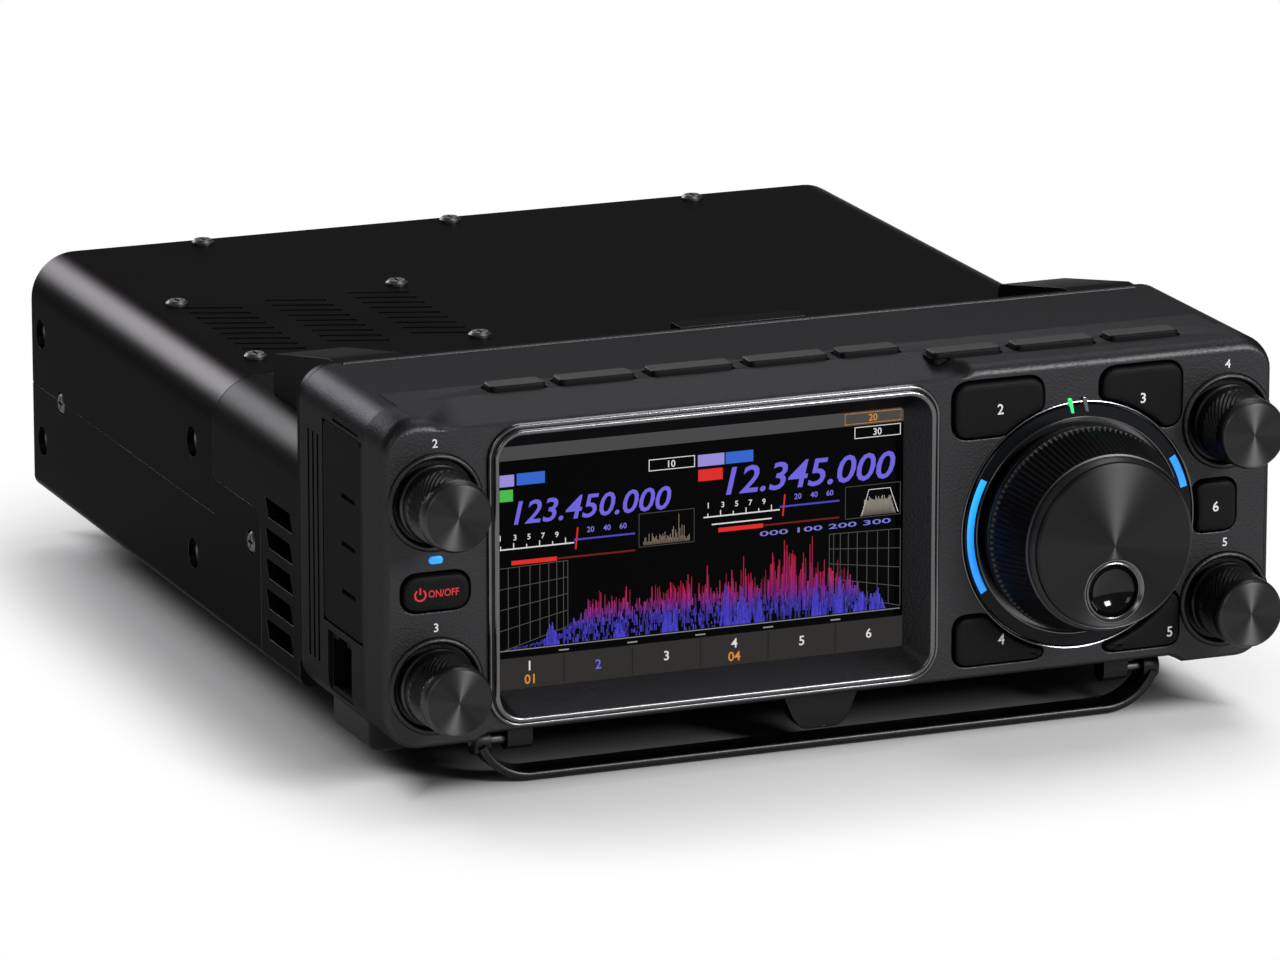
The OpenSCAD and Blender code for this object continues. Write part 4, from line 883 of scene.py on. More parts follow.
class TRANSCEIVER_OT_display(bpy.types.Operator):
    """Display: a double rim and sloped walls, as rounded boxes lofted down to the screen, and the pane."""

    bl_idname = "transceiver.display"
    bl_label = "Display frame and glass"

    def execute(self, context):
        top = FRAME_LOW[1]
        glass = GLASS_LOW[1]
        rim = [(0.0, 8.0, 0.0), (0.0, 8.0, -0.45), (0.1, 7.9, -0.72), (0.3, 7.7, -0.9), (0.55, 7.45, -0.95),
               (0.75, 7.25, -0.86), (0.9, 7.1, -0.7), (1.02, 7.0, -0.8), (1.12, 6.9, -1.2),
               (1.25, 6.75, top + 0.22), (1.5, 6.5, top + 0.05), (1.8, 6.2, top), (2.1, 5.9, top + 0.06),
               (2.35, 5.65, top + 0.3)]
        neck = self.ring(1.4, 6.6, 0.05)
        shell = Shell()
        shell.grid(np.stack([self.ring(*step) for step in rim] + [neck]), ring=True)
        shell.build("display_rim", "deck", finish("trim_edge"), "trim", ["display_frame"], 50)
        lip = self.ring(2.3, 5.7, top + 0.28)
        slope = lip + (self.opening(0, 1.0) - lip) * np.linspace(0, 1, 7)[:, None, None]
        back = self.ring(1.4, 6.6, glass - 0.1)
        shell = Shell()
        shell.grid(np.concatenate([slope, [self.opening(1, 1.5), back, neck]]), ring=True)
        shell.build("display_walls", "deck", finish("panel_paint"), "trim", (), 40)
        shell = Shell()
        loop = round_rect(GLASS_LOW[0], GLASS_HIGH[0], GLASS_LOW[2], GLASS_HIGH[2], 1.5)
        shell.loft(loop, "front", [(0, -GLASS_HIGH[1]), (0, -glass - 0.2)] + quarter(0.2, -glass, 3))
        shell.build("display_glass", "deck", finish("screen_glass"), "glass", ["touch_glass"])
        return {"FINISHED"}

    def ring(self, inset, r, depth):
        """Rounded box inside the frame's outline."""
        x0, z0 = FRAME_LOW[[0, 2]] + inset
        x1, z1 = FRAME_HIGH[[0, 2]] - inset
        return lay("front", round_rect(x0, x1, z0, z1, r, 14), -depth)

    def opening(self, grow, r):
        """Rounded box just over the pane, round the lit screen."""
        x0, x1, z0, z1 = SCREEN
        loop = round_rect(x0 - grow, x1 + grow, z0 - grow, z1 + grow, r, 14)
        return lay("front", loop, -GLASS_LOW[1] + 0.02)


# Screen picture: tints, and places in millimetres from the low left corner of the lit screen.
WHITE = (0.75, 0.75, 0.75)
VIOLET = (0.32, 0.27, 0.72)
BLUE = (0.03, 0.13, 0.62)
GREEN = (0.06, 0.5, 0.06)
ORANGE = (0.75, 0.27, 0.02)
RED = (0.75, 0.02, 0.015)
DIM_RED = (0.16, 0.004, 0.004)
LINE_BLUE = (0.07, 0.06, 0.5)
NUMBER_BLUE = (0.2, 0.18, 0.75)
GREY = (0.055, 0.055, 0.055)
WALL_GREY = (0.085, 0.08, 0.075)
# Tags: left, right, low edge and tint.
TAGS = (
    (0.4, 4.7, 46.7, VIOLET), (5.3, 12.0, 46.8, BLUE), (0.3, 4.4, 43.3, GREEN),
    (48.6, 55.0, 46.8, VIOLET), (55.3, 62.0, 46.8, BLUE), (48.7, 54.6, 43.4, RED),
)
TAG_H = 2.7
# Framed numbers: number, its middle, and left, right, low edge, high edge and tint of the frame.
FRAMED = (
    ("10", 42.3, 36.8, 47.9, 46.9, 49.6, WHITE),
    ("20", 91.1, 84.2, 98.0, 52.9, 55.5, ORANGE),
    ("30", 92.2, 86.6, 97.9, 49.5, 52.2, WHITE),
)
FRAME_LINE = 0.18
# Meters: left, right, base, needle, and where the odd numbers and the tens begin.
METERS = ((0.4, 33.5, 32.2, 19.3, 1.2, 22.0), (50.0, 83.0, 34.8, 69.2, 51.0, 72.0))
# Upper and lower number of each field along the bottom.
FIELDS = (("1", "01"), (None, "2"), ("3", None), ("4", "04"), ("5", None), ("6", None))
# Spectrum: place along it, half width and height of its broad humps and of its sharp peaks.
HUMPS = (
    (0.16, 0.02, 5), (0.2, 0.07, 4), (0.38, 0.07, 4), (0.45, 0.02, 9), (0.51, 0.012, 10), (0.575, 0.02, 11),
    (0.63, 0.02, 10), (0.72, 0.05, 8), (0.78, 0.05, 11), (0.835, 0.02, 12), (0.88, 0.03, 8), (0.95, 0.04, 6),
)
PEAKS = (
    (0.13, 0.02, 5.5), (0.3, 0.015, 4), (0.42, 0.012, 9), (0.44, 0.008, 6), (0.57, 0.016, 11),
    (0.61, 0.02, 9), (0.655, 0.012, 8), (0.8, 0.012, 10.5), (0.86, 0.012, 9.5), (0.915, 0.02, 5),
    (0.955, 0.02, 5.5),
)
PEAK_SPIKES = 26
WALL_LINE = 0.14
SPIKE_W = 0.34
BASE_V = 9.3


class TRANSCEIVER_OT_screen(bpy.types.Operator):
    """Lit picture of the display: bars, plain numbers, meters and a spectrum of thin slabs."""

    bl_idname = "transceiver.screen"
    bl_label = "Screen picture"

    def execute(self, context):
        s = context.scene.transceiver_screen
        light = screen_finish()
        left, right, low, high = SCREEN
        w, h = right - left, high - low
        rng = np.random.default_rng(s.seed)
        bars, wave, text = (Ink(left, GLASS_LOW[1] - 0.015, low) for _ in range(3))
        self.fields(bars, w, h)
        self.meters(bars)
        self.scopes(bars, rng)
        self.walls(bars, w)
        self.spectrum(wave, s, rng, w)
        self.numbers(text, s, w)
        bars.build("screen_bars", "deck", light, "lcd")
        wave.build("screen_spectrum", "deck", light, "lcd")
        text.build("screen_numbers", "deck", light, "lcd")
        return {"FINISHED"}

    def fields(self, ink, w, h):
        """Top strip, bottom strip with its dividers, tags and frames."""
        ink.box(0, w, h - 3.2, h, (0.06, 0.06, 0.06))
        ink.box(0, w, 0, 7.2, (0.022, 0.02, 0.018))
        for k in range(1, 6):
            ink.box(w * k / 6 - 0.12, w * k / 6 + 0.12, 0.4, 6.9, (0.004, 0.004, 0.004), 0.03)
        for u0, u1, v0, tint in TAGS:
            ink.box(u0, u1, v0, v0 + TAG_H, tint)
        for _, _, u0, u1, v0, v1, tint in FRAMED:
            ink.outline(u0, u1, v0, v1, FRAME_LINE, tint)

    def meters(self, ink):
        """Meters: a white and a blue scale line, six ticks, a needle and a level bar below."""
        for u0, u1, v, needle, _, _ in METERS:
            split = u0 + 0.56 * (u1 - u0)
            ink.box(u0, split, v, v + 0.3, WHITE)
            ink.box(split, u1, v + 0.6, v + 1.0, LINE_BLUE)
            for k in range(6):
                tick = u0 + (split - u0) * (k + 0.3) / 6
                ink.box(tick, tick + 0.22, v + 0.3, v + (1.5 if k % 2 else 1.0), WHITE)
            ink.stroke((needle, v - 1.4), (needle + 0.5, v + 3.6), 0.35, RED)
            ink.box(u0 + 3.6, u0 + 14.4, v - 3.6, v - 2.6, RED)
            ink.box(u0 + 14.4, u1, v - 3.3, v - 2.9, DIM_RED)
        ink.box(52.0, 66.5, 33.0, 33.3, WHITE)

    def scopes(self, ink, rng):
        """Small scopes: noise with one hump, and a filter shape under three strokes."""
        ink.outline(34.4, 47.8, 29.6, 37.4, 0.15, GREY)
        ink.outline(84.4, 98.0, 31.0, 38.6, 0.15, GREY)
        u = np.linspace(35.6, 46.6, 44)
        rise = 0.5 + 2.2 * rng.random(44) * (1 + 2.0 * np.exp(-((u - 44) / 1.2) ** 2))
        self.spikes(ink, u, 30.0, rise, 0.2, (0.1, 0.07, 0.05), (0.35, 0.28, 0.2))
        u = np.linspace(88.0, 97.0, 40)
        rise = 4.6 * smooth((u - 88) / 1.6) * smooth((97 - u) / 1.6) * (0.75 + 0.25 * rng.random(40))
        self.spikes(ink, u, 31.4, rise, 0.26, (0.06, 0.05, 0.045), (0.4, 0.36, 0.3))
        shape = ((88.4, 31.4), (90.2, 37.4), (95.4, 37.4), (97.4, 31.6))
        for a, b in zip(shape, shape[1:]):
            ink.stroke(a, b, 0.15, WHITE)

    def walls(self, ink, w):
        """Receding grids at both ends of the spectrum, its base line and the marks below it."""
        self.wall(ink, (0.4, 17.4), (8.6, 13.2), (28.0, 28.4))
        self.wall(ink, (w - 0.6, w - 18.0), (9.6, 14.2), (27.6, 28.0))
        ink.box(0.4, w - 0.6, 8.9, 9.1, (0.25, 0.25, 0.25))
        for k in range(1, 6):
            ink.box(w * k / 6 - 1.2, w * k / 6 + 1.2, 7.75, 8.05, (0.3, 0.3, 0.3))

    def wall(self, ink, u, low, high):
        """Receding wall from its near to its far end: lines whose spacing shrinks towards the far end."""
        def between(ends, k):
            """Straight blend from the first end to the last."""
            return ends[0] + (ends[1] - ends[0]) * k

        for k in 1 - (1 - np.linspace(0, 1, 9)) ** 1.35:
            at = between(u, k)
            ink.stroke((at, between(low, k)), (at, between(high, k)), WALL_LINE, WALL_GREY)
        for k in np.linspace(0, 1, 5):
            near, far = (between((low[end], high[end]), k) for end in (0, 1))
            ink.stroke((u[0], near), (u[1], far), WALL_LINE, WALL_GREY)

    def spikes(self, ink, u, base, rise, wide, low, high):
        """Row of thin upright slabs, half as wide at the top."""
        base = base + 0 * u
        top = base + rise
        foot, tip = wide / 2, wide / 4
        corners = ((u - foot, base), (u + foot, base), (u + tip, top), (u - tip, top))
        ink.bars(np.stack([np.stack(corner, -1) for corner in corners], 1), low, high)

    def spectrum(self, ink, s, rng, w):
        """Rows of spikes from back to front: noise on broad humps, tinted by the height of their ends."""
        low, high = np.array(s.low), np.array(s.high)

        def tint(height, share):
            """Weak colour up to 14.5 on the screen, strong from 20.5 on, times a share."""
            heat = np.clip((height - 14.5) / 6.0, 0, 1)[:, None]
            return (low * (1 - heat) + high * heat) * share[:, None]

        for row in range(s.rows):
            back = 1 - row / (s.rows - 1)
            t = np.sort(rng.random(s.columns)) * 0.975 + 0.005
            hump = sum(tall * np.exp(-((t - at - 0.01 * back) / wide) ** 2) for at, wide, tall in HUMPS)
            edge = smooth(t / 0.2) * smooth((1.03 - t) / 0.1) * 0.9 + 0.1
            hiss = 0.8 * hump * rng.random(s.columns) ** 1.3
            burst = 3.0 * rng.random(s.columns) ** 4
            rise = (0.8 + hiss + burst) * edge * (0.45 + 0.55 * back)
            u = 1.0 + (w - 3.0) * (t * (1 - 0.22 * back) + 0.12 * back)
            base = BASE_V + 6.5 * back * edge
            fade = 0.25 + 0.75 * rng.random(s.columns) ** 1.3
            foot, tip = tint(base + 1.5 * back, 0.6 * fade), tint(base + rise + 1.5 * back, fade)
            self.spikes(ink, u, base, rise, SPIKE_W, foot, tip)
        for at, wide, tall in PEAKS:
            t = at + wide * rng.uniform(-1, 1, PEAK_SPIKES)
            rise = tall * (1 - np.abs(t - at) / wide) ** 0.8 * rng.uniform(0.6, 1, PEAK_SPIKES) + 0.5
            fade = rng.uniform(0.55, 1, PEAK_SPIKES)
            foot, tip = tint(9 + 0 * t, fade), tint(10 + 0.5 * rise, fade)
            self.spikes(ink, 1.0 + (w - 3.0) * t, BASE_V, rise, SPIKE_W, foot, tip)

    def numbers(self, ink, s, w):
        """Plain numbers: two large ones, and those of frames, fields and meters."""
        ink.number("123.450.000", 4.6, 37.8, 5.4, s.digits, 37.6, slant=0.22)
        ink.number("12.345.000", 55.4, 39.6, 6.4, s.digits, 41.2, slant=0.22)
        for body, at, _, _, v0, _, tint in FRAMED:
            ink.number(body, at, v0 + 0.5, 1.6, tint, bold=0.01, centre=True)
        for k, (upper, lower) in enumerate(FIELDS):
            at = w * (k + 0.5) / 6
            if upper:
                ink.number(upper, at, 4.0 if lower else 2.8, 2.2, WHITE, centre=True)
            if lower:
                ink.number(lower, at, 0.9 if upper else 2.6, 2.2, ORANGE if upper else s.digits, centre=True)
        for _, _, v, _, odd, tens in METERS:
            for k in range(5):
                ink.number(str(2 * k + 1), odd + 3.3 * k, v + 2.2 - 0.1 * k, 1.3, WHITE)
            for k in range(3):
                ink.number(str(20 + 20 * k), tens + 3.9 * k, v + 2.2, 1.3, NUMBER_BLUE)
        ink.number("000 100 200 300", 63.6, 29.2, 1.15, (0.2, 0.2, 0.7), 32.0, bold=0.01)


class TRANSCEIVER_OT_keys(bpy.types.Operator):
    """Face keys and top keys: their outlines lofted up to a rounded edge and a slightly raised crown."""

    bl_idname = "transceiver.keys"
    bl_label = "Keys"

    def execute(self, context):
        r = context.scene.transceiver_panel.key_round
        for name in FACE_KEYS:
            out = -local_box(name)[0][1]
            edge = [(0, -FACE_T), (0, out - r)] + quarter(r, out - 0.12, 6)
            self.cap(name, key_loop(name), "front", edge + [(r + 0.6, out), (r + 0.8, out)])
        for name in TOP_KEYS:
            low, high = (corner[2] for corner in local_box(name))
            edge = [(0, low + 1.1), (0, high - 0.5)] + quarter(0.5, high, 5)
            self.cap(name, top_key_loop(name), "top", edge + [(0.7, high)])
        return {"FINISHED"}

    def cap(self, name, loop, plane, section):
        """One key on its own body."""
        shell = Shell()
        shell.loft(loop, plane, section)
        shell.build(name + "_cap", name, finish("key_rubber"), "key", [name], 45)


class TRANSCEIVER_OT_dial(bpy.types.Operator):
    """Tuning dial: a turned grip with straight ribs, a spun face lofted round the finger cup, and the cup."""

    bl_idname = "transceiver.dial"
    bl_label = "Tuning dial"

    RIBS_FROM = -4.5
    RIBS_TO = -16.4

    def execute(self, context):
        face_r = half_width("dial_face")
        cup, cup_r = middle("finger_cup"), half_width("finger_cup")
        self.grip(context.scene.transceiver_dial, face_r)
        self.face(face_r, cup, cup_r)
        self.cup(cup, cup_r)
        return {"FINISHED"}

    def grip(self, s, face_r):
        """Turned grip: a foot, a band whose ribs are a power of a cosine, and a nose round the face."""
        r = half_width("main_dial")
        nose = -DIAL_OUT + 0.9
        foot = [(7.0, -0.7), (r - 0.7, -0.7), (r - 0.5, -0.9), (r - 0.5, -2.4), (r - 0.95, -2.7),
                (r - 0.95, -3.1), (r - 0.1, -3.5), (r, -3.7), (r - 0.05, -4.2)]
        band = refine([(r - 0.1, -4.4), (face_r + 2.55, -13.2), (face_r + 1.5, -16.6)], 0.35)
        front = [(face_r + 1.1, -16.8), (face_r + 1.05, -17.1), (face_r + 1.25, -17.4), (face_r + 1.1, -17.9),
                 (face_r + 0.8, -18.4), (face_r + 0.4, nose), (face_r - 0.6, nose + 0.3),
                 (face_r - 0.8, nose + 5.6), (7.0, nose + 5.6)]

        def ribs(angle, depth):
            """Cuts into the radius, within a window in depth with smooth ends."""
            window = smooth((self.RIBS_FROM - depth) / 0.5) * smooth((depth - self.RIBS_TO) / 0.5)
            return -s.rib_depth * window * (0.5 - 0.5 * np.cos(s.ribs * angle)) ** 0.6

        shell = Shell()
        shell.revolve(*DIAL, foot + band + front, s.ribs * 6, ribs, ring=True)
        shell.build("dial_grip", "dial", finish("grip_plastic"), "grip", ["main_dial"], 38)

    def face(self, face_r, cup, cup_r):
        """Spun face: flat rings that go over from the hole of the cup to the rim, its edge and its back."""
        angle = np.linspace(0, 2 * math.pi, 160, endpoint=False)
        ray = np.stack([np.cos(angle), np.sin(angle)], -1)
        hole = cup + ray * (cup_r + 0.75)
        edge = DIAL + ray * (face_r - 0.45)
        flat = hole + (edge - hole) * np.linspace(0, 1, 48)[:, None, None]
        side = [lay("front", DIAL + ray * face_r, DIAL_OUT - drop) for drop in (0.4, 1.2)]
        inner = lay("front", hole, DIAL_OUT - 1.2)
        shell = Shell()
        shell.grid(np.concatenate([lay("front", flat, DIAL_OUT), side, [inner]]), ring=True)
        spun = spun_finish("spun_dial", *DIAL, (0.035, 0.0343, 0.0343))
        shell.build("dial_spun_face", "dial", spun, "spun", ["dial_face"], 25)

    def cup(self, cup, cup_r):
        """Finger cup: a bright rim with a step, and a bowl as a turned quarter ellipse."""
        front = -DIAL_OUT
        r = cup_r + 0.7
        rim = [(r, front + 1.4), (r, front + 0.1), (r - 0.1, front), (r - 0.35, front),
               (r - 0.5, front + 0.12), (r - 0.9, front + 0.5), (r - 1.15, front + 0.42),
               (r - 1.3, front + 0.5), (r - 1.35, front + 1.4)]
        shell = Shell()
        shell.revolve(*cup, rim, 96, ring=True)
        shell.build("cup_rim", "dial", finish("trim_edge"), "gloss")
        r, deep = cup_r - 0.7, 3.4
        turn = np.linspace(0, math.pi / 2, 18)
        bowl = list(zip(r * np.cos(turn), front + 0.5 + deep * np.sin(turn)))
        back = [(0, front + 6.0), (r + 0.1, front + 6.0), (r + 0.1, front + 0.45)]
        shell = Shell()
        shell.revolve(*cup, back + bowl, 96)
        shell.build("finger_cup_bowl", "dial", finish("gloss_black"), "gloss", ["finger_cup"])


class TRANSCEIVER_OT_lights(bpy.types.Operator):
    """Light ring with its two lit arcs, the status bars and the power light."""

    bl_idname = "transceiver.lights"
    bl_label = "Lights"

    # First and last angle of the lit arcs, in degrees.
    LIT_ARCS = ((151.5, 209.5), (14.0, 31.0))

    def execute(self, context):
        lens = local_box("dial_light_ring")[0][1]
        ring = [(RING_IN, 1.2), (RING_IN, -0.3), (RING_IN + 0.2, lens + 0.02), (RING_R - 0.25, lens + 0.02),
                (RING_R, -0.25), (RING_R, 1.2)]
        shell = Shell()
        shell.revolve(*DIAL, ring, 192, ring=True)
        shell.build("light_ring", "deck", finish("smoke_lens"), "light_blue", ["dial_light_ring"])
        self.arcs(lens)
        self.bars()
        return {"FINISHED"}

    def arcs(self, lens):
        """Lit arcs: a low section with rounded corners carried along a part of the ring."""
        inner, outer = RING_IN + 0.9, RING_R - 0.55
        section = np.array([(inner, -0.2), (inner, lens - 0.04), (inner + 0.2, lens - 0.1),
                            (outer - 0.2, lens - 0.1), (outer, lens - 0.04), (outer, -0.2)])
        r, depth = section.T
        shell = Shell()
        for first, last in self.LIT_ARCS:
            angle = np.radians(np.linspace(first, last, 40))[:, None]
            x, z = DIAL[0] + r * np.cos(angle), DIAL[1] + r * np.sin(angle)
            shell.sweep(np.stack([x, depth + 0 * angle, z], -1))
        shell.build("ring_lit_arcs", "deck", lit_finish("lit_blue", (0.008, 0.23, 0.86)), "light_blue")

    def bars(self):
        """Two slanted status bars over the dial, one lit and one dark, and the power light: rounded boxes."""
        low, high = local_box("status_lights")
        looks = {"status_lit": lit_finish("lit_green", (0.01, 0.45, 0.1)), "status_dark": finish("trim_edge")}
        for (name, look), x in zip(looks.items(), (low[0] + 0.75, high[0] - 0.75)):
            loop = round_rect(x - 0.55, x + 0.55, low[2], high[2], 0.4, 5)
            loop[:, 0] -= 0.22 * (loop[:, 1] - (low[2] + high[2]) / 2)
            shell = Shell()
            shell.loft(loop, "front", [(0, -1), (0, 0.3)] + quarter(0.2, 0.5, 3))
            shell.build(name, "deck", look, "light_green", ["status_lights"])
        low, high = local_box("power_light")
        loop = round_rect(low[0], high[0], low[2], high[2], 0.85, 6)
        shell = Shell()
        shell.loft(loop, "front", [(0, -1), (0, 0.1)] + quarter(0.3, 0.4, 4))
        look = lit_finish("lit_power", (0.01, 0.19, 0.75))
        shell.build("power_lit", "deck", look, "light_blue", ["power_light"])


class TRANSCEIVER_OT_knobs(bpy.types.Operator):
    """Small knobs: a turned grip with slanted ribs that fade at both ends, and a spun face."""

    bl_idname = "transceiver.knobs"
    bl_label = "Small knobs"

    def execute(self, context):
        for place in KNOBS:
            self.knob(context.scene.transceiver_dial, place, "knob_" + place)
        return {"FINISHED"}

    def knob(self, s, place, body):
        """One knob: ribs as a power of a cosine of the angle, which turns with the depth."""
        x, z = middle(body)
        r, front = half_width(body), local_box(body)[0][1]
        face_r = r - 1.2
        base = [(3.2, -0.5), (r - 0.2, -0.5), (r, -0.8), (r, -1.7), (r - 0.15, -2.0), (r - 0.35, -2.2)]
        band = refine([(r - 0.4, -2.4), (face_r + 0.35, front + 1.6)], 0.3)
        nose = [(face_r + 0.3, front + 1.2), (face_r, front + 0.35), (face_r - 0.35, front + 0.06),
                (3.2, front + 0.06)]

        def threads(angle, depth):
            """Cuts into the radius, within a window in depth with smooth ends."""
            window = smooth((-4.6 - depth) / 1.0) * smooth((depth - front - 2.6) / 1.0)
            wave = np.cos(s.threads * (angle + s.thread_turn * depth))
            return -s.thread_depth * window * (0.5 - 0.5 * wave) ** 0.7

        shell = Shell()
        shell.revolve(x, z, base + band + nose, s.threads * 8, threads, ring=True)
        shell.build("knob_grip_" + place, body, finish("grip_plastic"), "grip", [body], 38)
        edge_r = face_r - 0.38
        face = [(r_flat, front) for r_flat in np.linspace(0, face_r - 0.5, 14)]
        face += [(edge_r, front + 0.05), (edge_r, front + 0.5), (0, front + 0.5)]
        shell = Shell()
        shell.revolve(x, z, face, 96)
        spun = spun_finish("spun_knob_" + place, x, z, (0.045, 0.044, 0.044))
        shell.build("knob_face_" + place, body, spun, "grip", (), 25)


class TRANSCEIVER_OT_marks(bpy.types.Operator):
    """Printed marks: plain numbers on the keys and over the knobs, and a power sign on the power key."""

    bl_idname = "transceiver.marks"
    bl_label = "Printed marks"

    PRINT_WHITE = (0.62, 0.64, 0.66)
    PRINT_RED = (0.55, 0.03, 0.035)
    PRINT_GAP = 0.01
    KNOB_NUMBER_UP = 12.4

    def execute(self, context):
        ink = print_finish()
        for number, name in enumerate(ARC_KEYS, 2):
            # The dial hides the middle of one key, so its number stands further out.
            u, v = middle(name) + ((7, -3) if name == "key_fine" else (0, 0))
            mark = self.on(name)
            mark.number(str(number), u, v - 1.2, 2.4, self.PRINT_WHITE, centre=True)
            mark.build(name + "_number", name, ink, "key")
        u, v = local_box("key_power")[0][0] + 4.6, middle("key_power")[1]
        mark = self.on("key_power")
        mark.ring(u, v - 0.1, 1.25, 0.42, 125, 415, self.PRINT_RED)
        mark.stroke((u, v), (u, v + 1.55), 0.42, self.PRINT_RED)
        mark.number("ON/OFF", u + 1.9, v - 0.85, 1.7, self.PRINT_RED, 7.2)
        mark.build("power_sign", "key_power", ink, "key")
        mark = Ink(0, -self.PRINT_GAP, 0)
        for number, place in enumerate(KNOBS, 2):
            x, z = middle("knob_" + place)
            mark.number(str(number), x, z + self.KNOB_NUMBER_UP, 2.0, self.PRINT_WHITE, centre=True)
        mark.build("panel_numbers", "deck", ink, "panel")
        return {"FINISHED"}

    def on(self, name):
        """Ink just over the front of a key."""
        return Ink(0, local_box(name)[0][1] - self.PRINT_GAP, 0)


class TRANSCEIVER_OT_stand(bpy.types.Operator):
    """Stand: a rounded bar section carried along a path with two round corners, and an eye at each end."""

    bl_idname = "transceiver.stand"
    bl_label = "Stand"

    THICK = 2.0
    DEEP = 8.0
    CORNER = 14.0
    # Inset and place across of an eye's rounded edges.
    EYE = ((0.4, -2.0), (0.1, -1.9), (0, -1.6), (0, 1.6), (0.1, 1.9), (0.4, 2.0))

    def execute(self, context):
        low, high = local_box("stand")
        y, z = middle("stand_pivots", 1)
        half, floor = high[0] - self.THICK / 2, low[2] + self.THICK / 2
        r = self.CORNER - self.THICK / 2
        left = arc(-half + r, floor + r, r, 180, 270, 20)
        right = arc(half - r, floor + r, r, 270, 360, 20)
        path = np.concatenate([left, right])
        path = path[path[:, 1] < z - 0.2]
        step = np.gradient(path, axis=0)
        side = np.stack([step[:, 1], -step[:, 0]], -1)
        side /= np.linalg.norm(side, axis=1, keepdims=True)
        section = round_rect(-self.THICK / 2, self.THICK / 2, -self.DEEP / 2, self.DEEP / 2, 0.7, 5)
        across = path[:, None] + side[:, None] * section[None, :, :1]
        depth = np.broadcast_to(y + section[:, 1], across.shape[:2])
        shell = Shell()
        shell.sweep(np.stack([across[..., 0], depth, across[..., 1]], -1))
        for sign in (-1, 1):
            hub = sign * (high[0] - 2.45)
            shell.loft(circle(y, z, 3.2, 48), "right", [(inset, hub + out) for inset, out in self.EYE])
        shell.build("stand_bar", "stand", finish("frame_paint"), "frame", ["stand"], 40)
        return {"FINISHED"}


class TRANSCEIVER_OT_feet(bpy.types.Operator):
    """Rubber feet, a turned section with a rounded rim and a screw recess, and two pads under the head."""

    bl_idname = "transceiver.feet"
    bl_label = "Feet"

    # Inset and height of a pad's rounded low edge.
    PAD = ((1.6, -PAD_H), (0.9, -PAD_H + 0.15), (0.3, -PAD_H + 0.7), (0, -PAD_H + 1.5), (0, -0.5))
    PAD_HALF = 5

    def execute(self, context):
        low, high = local_box("feet")
        tall = -low[2]
        shell = Shell()
        section = [(0, 4.0), (3.2, 4.0), (3.2, 0.5), (3.6, 0.1), (6.6, 0), (7.6, 0.3), (8.5, 1.3), (8.9, 2.6),
                   (FOOT_R, 4), (FOOT_R, tall), (0, tall)]
        r, up = np.array(section).T[..., None]
        angle = np.linspace(0, 2 * math.pi, 64, endpoint=False)[None]
        for x in (FOOT_X, -FOOT_X):
            for y in FOOT_Y:
                rows = [x + r * np.cos(angle), y + r * np.sin(angle), low[2] + up + 0 * angle]
                shell.grid(np.stack(rows, -1))
        for sign in (-1, 1):
            self.pad(shell, sign * (high[0] - self.PAD_HALF), low[1])
        shell.build("rubber_feet", "deck", finish("soft_rubber"), "rubber", ["feet"])
        return {"FINISHED"}

    def pad(self, shell, x, front):
        """One pad: a rounded box whose top follows the round corner of the head, a circle in section."""
        loop = round_rect(x - self.PAD_HALF, x + self.PAD_HALF, front, PAD_Y, 3.0)
        rings = shell.loft(loop, "top", self.PAD, False)
        over = np.abs(loop[:, 0]) - (HALF_W - HEAD_CORNER)
        fall = HEAD_CORNER - np.sqrt(np.clip(HEAD_CORNER ** 2 - over * over, 0, None))
        crown = lay("top", loop, np.where(over > 0, fall, 0) - 0.1)
        shell.grid(np.stack([rings[-1], crown]))
        shell.cap(rings[0])
        shell.cap(crown)


class TRANSCEIVER_OT_flap(bpy.types.Operator):
    """Jack cover: a soft plate with a rounded edge, three finger slits and three plugs behind it."""

    bl_idname = "transceiver.flap"
    bl_label = "Jack cover"

    # Inset and drop of a slit's rounded rim and of a plug's rounded end.
    SLIT = ((-0.3, 0), (-0.2, 0), (-0.05, 0.05), (0, 0.2), (0, 0.8))
    PLUG = ((0.3, 3.3), (0, 3.0), (0, 1.7))

    def execute(self, context):
        low, high = local_box("jack_cover")
        y, z = low[1:]
        shell = Shell()
        loop = round_rect(y, high[1], z, high[2], 1.6, 7)
        outer = [(0, HALF_W - 1.9), (0, HALF_W - 0.5)] + quarter(0.5, HALF_W, 5) + [(0.6, HALF_W)]
        rings = shell.loft(loop, "left", outer, False)
        slit_rim = [(inset, HALF_W - drop) for inset, drop in self.SLIT]
        plug_end = [(inset, HALF_W - drop) for inset, drop in self.PLUG]
        slits = [round_rect(y + 4, y + 13, z + 9 + 11 * k, z + 10 + 11 * k, 0.45, 5) for k in range(3)]
        rims = [shell.loft(slit, "left", slit_rim, False) for slit in slits]
        shell.cap(rings[-1], *(rim[0] for rim in rims))
        shell.cap(rings[0])
        for rim in rims:
            shell.cap(rim[-1])
        for k in range(3):
            shell.loft(circle(y + 13, z + 9 + 14 * k, 1.2, 32), "left", plug_end)
        shell.build("jack_flap", "jack_cover", finish("case_plastic"), "rubber", ["jack_cover"])
        return {"FINISHED"}


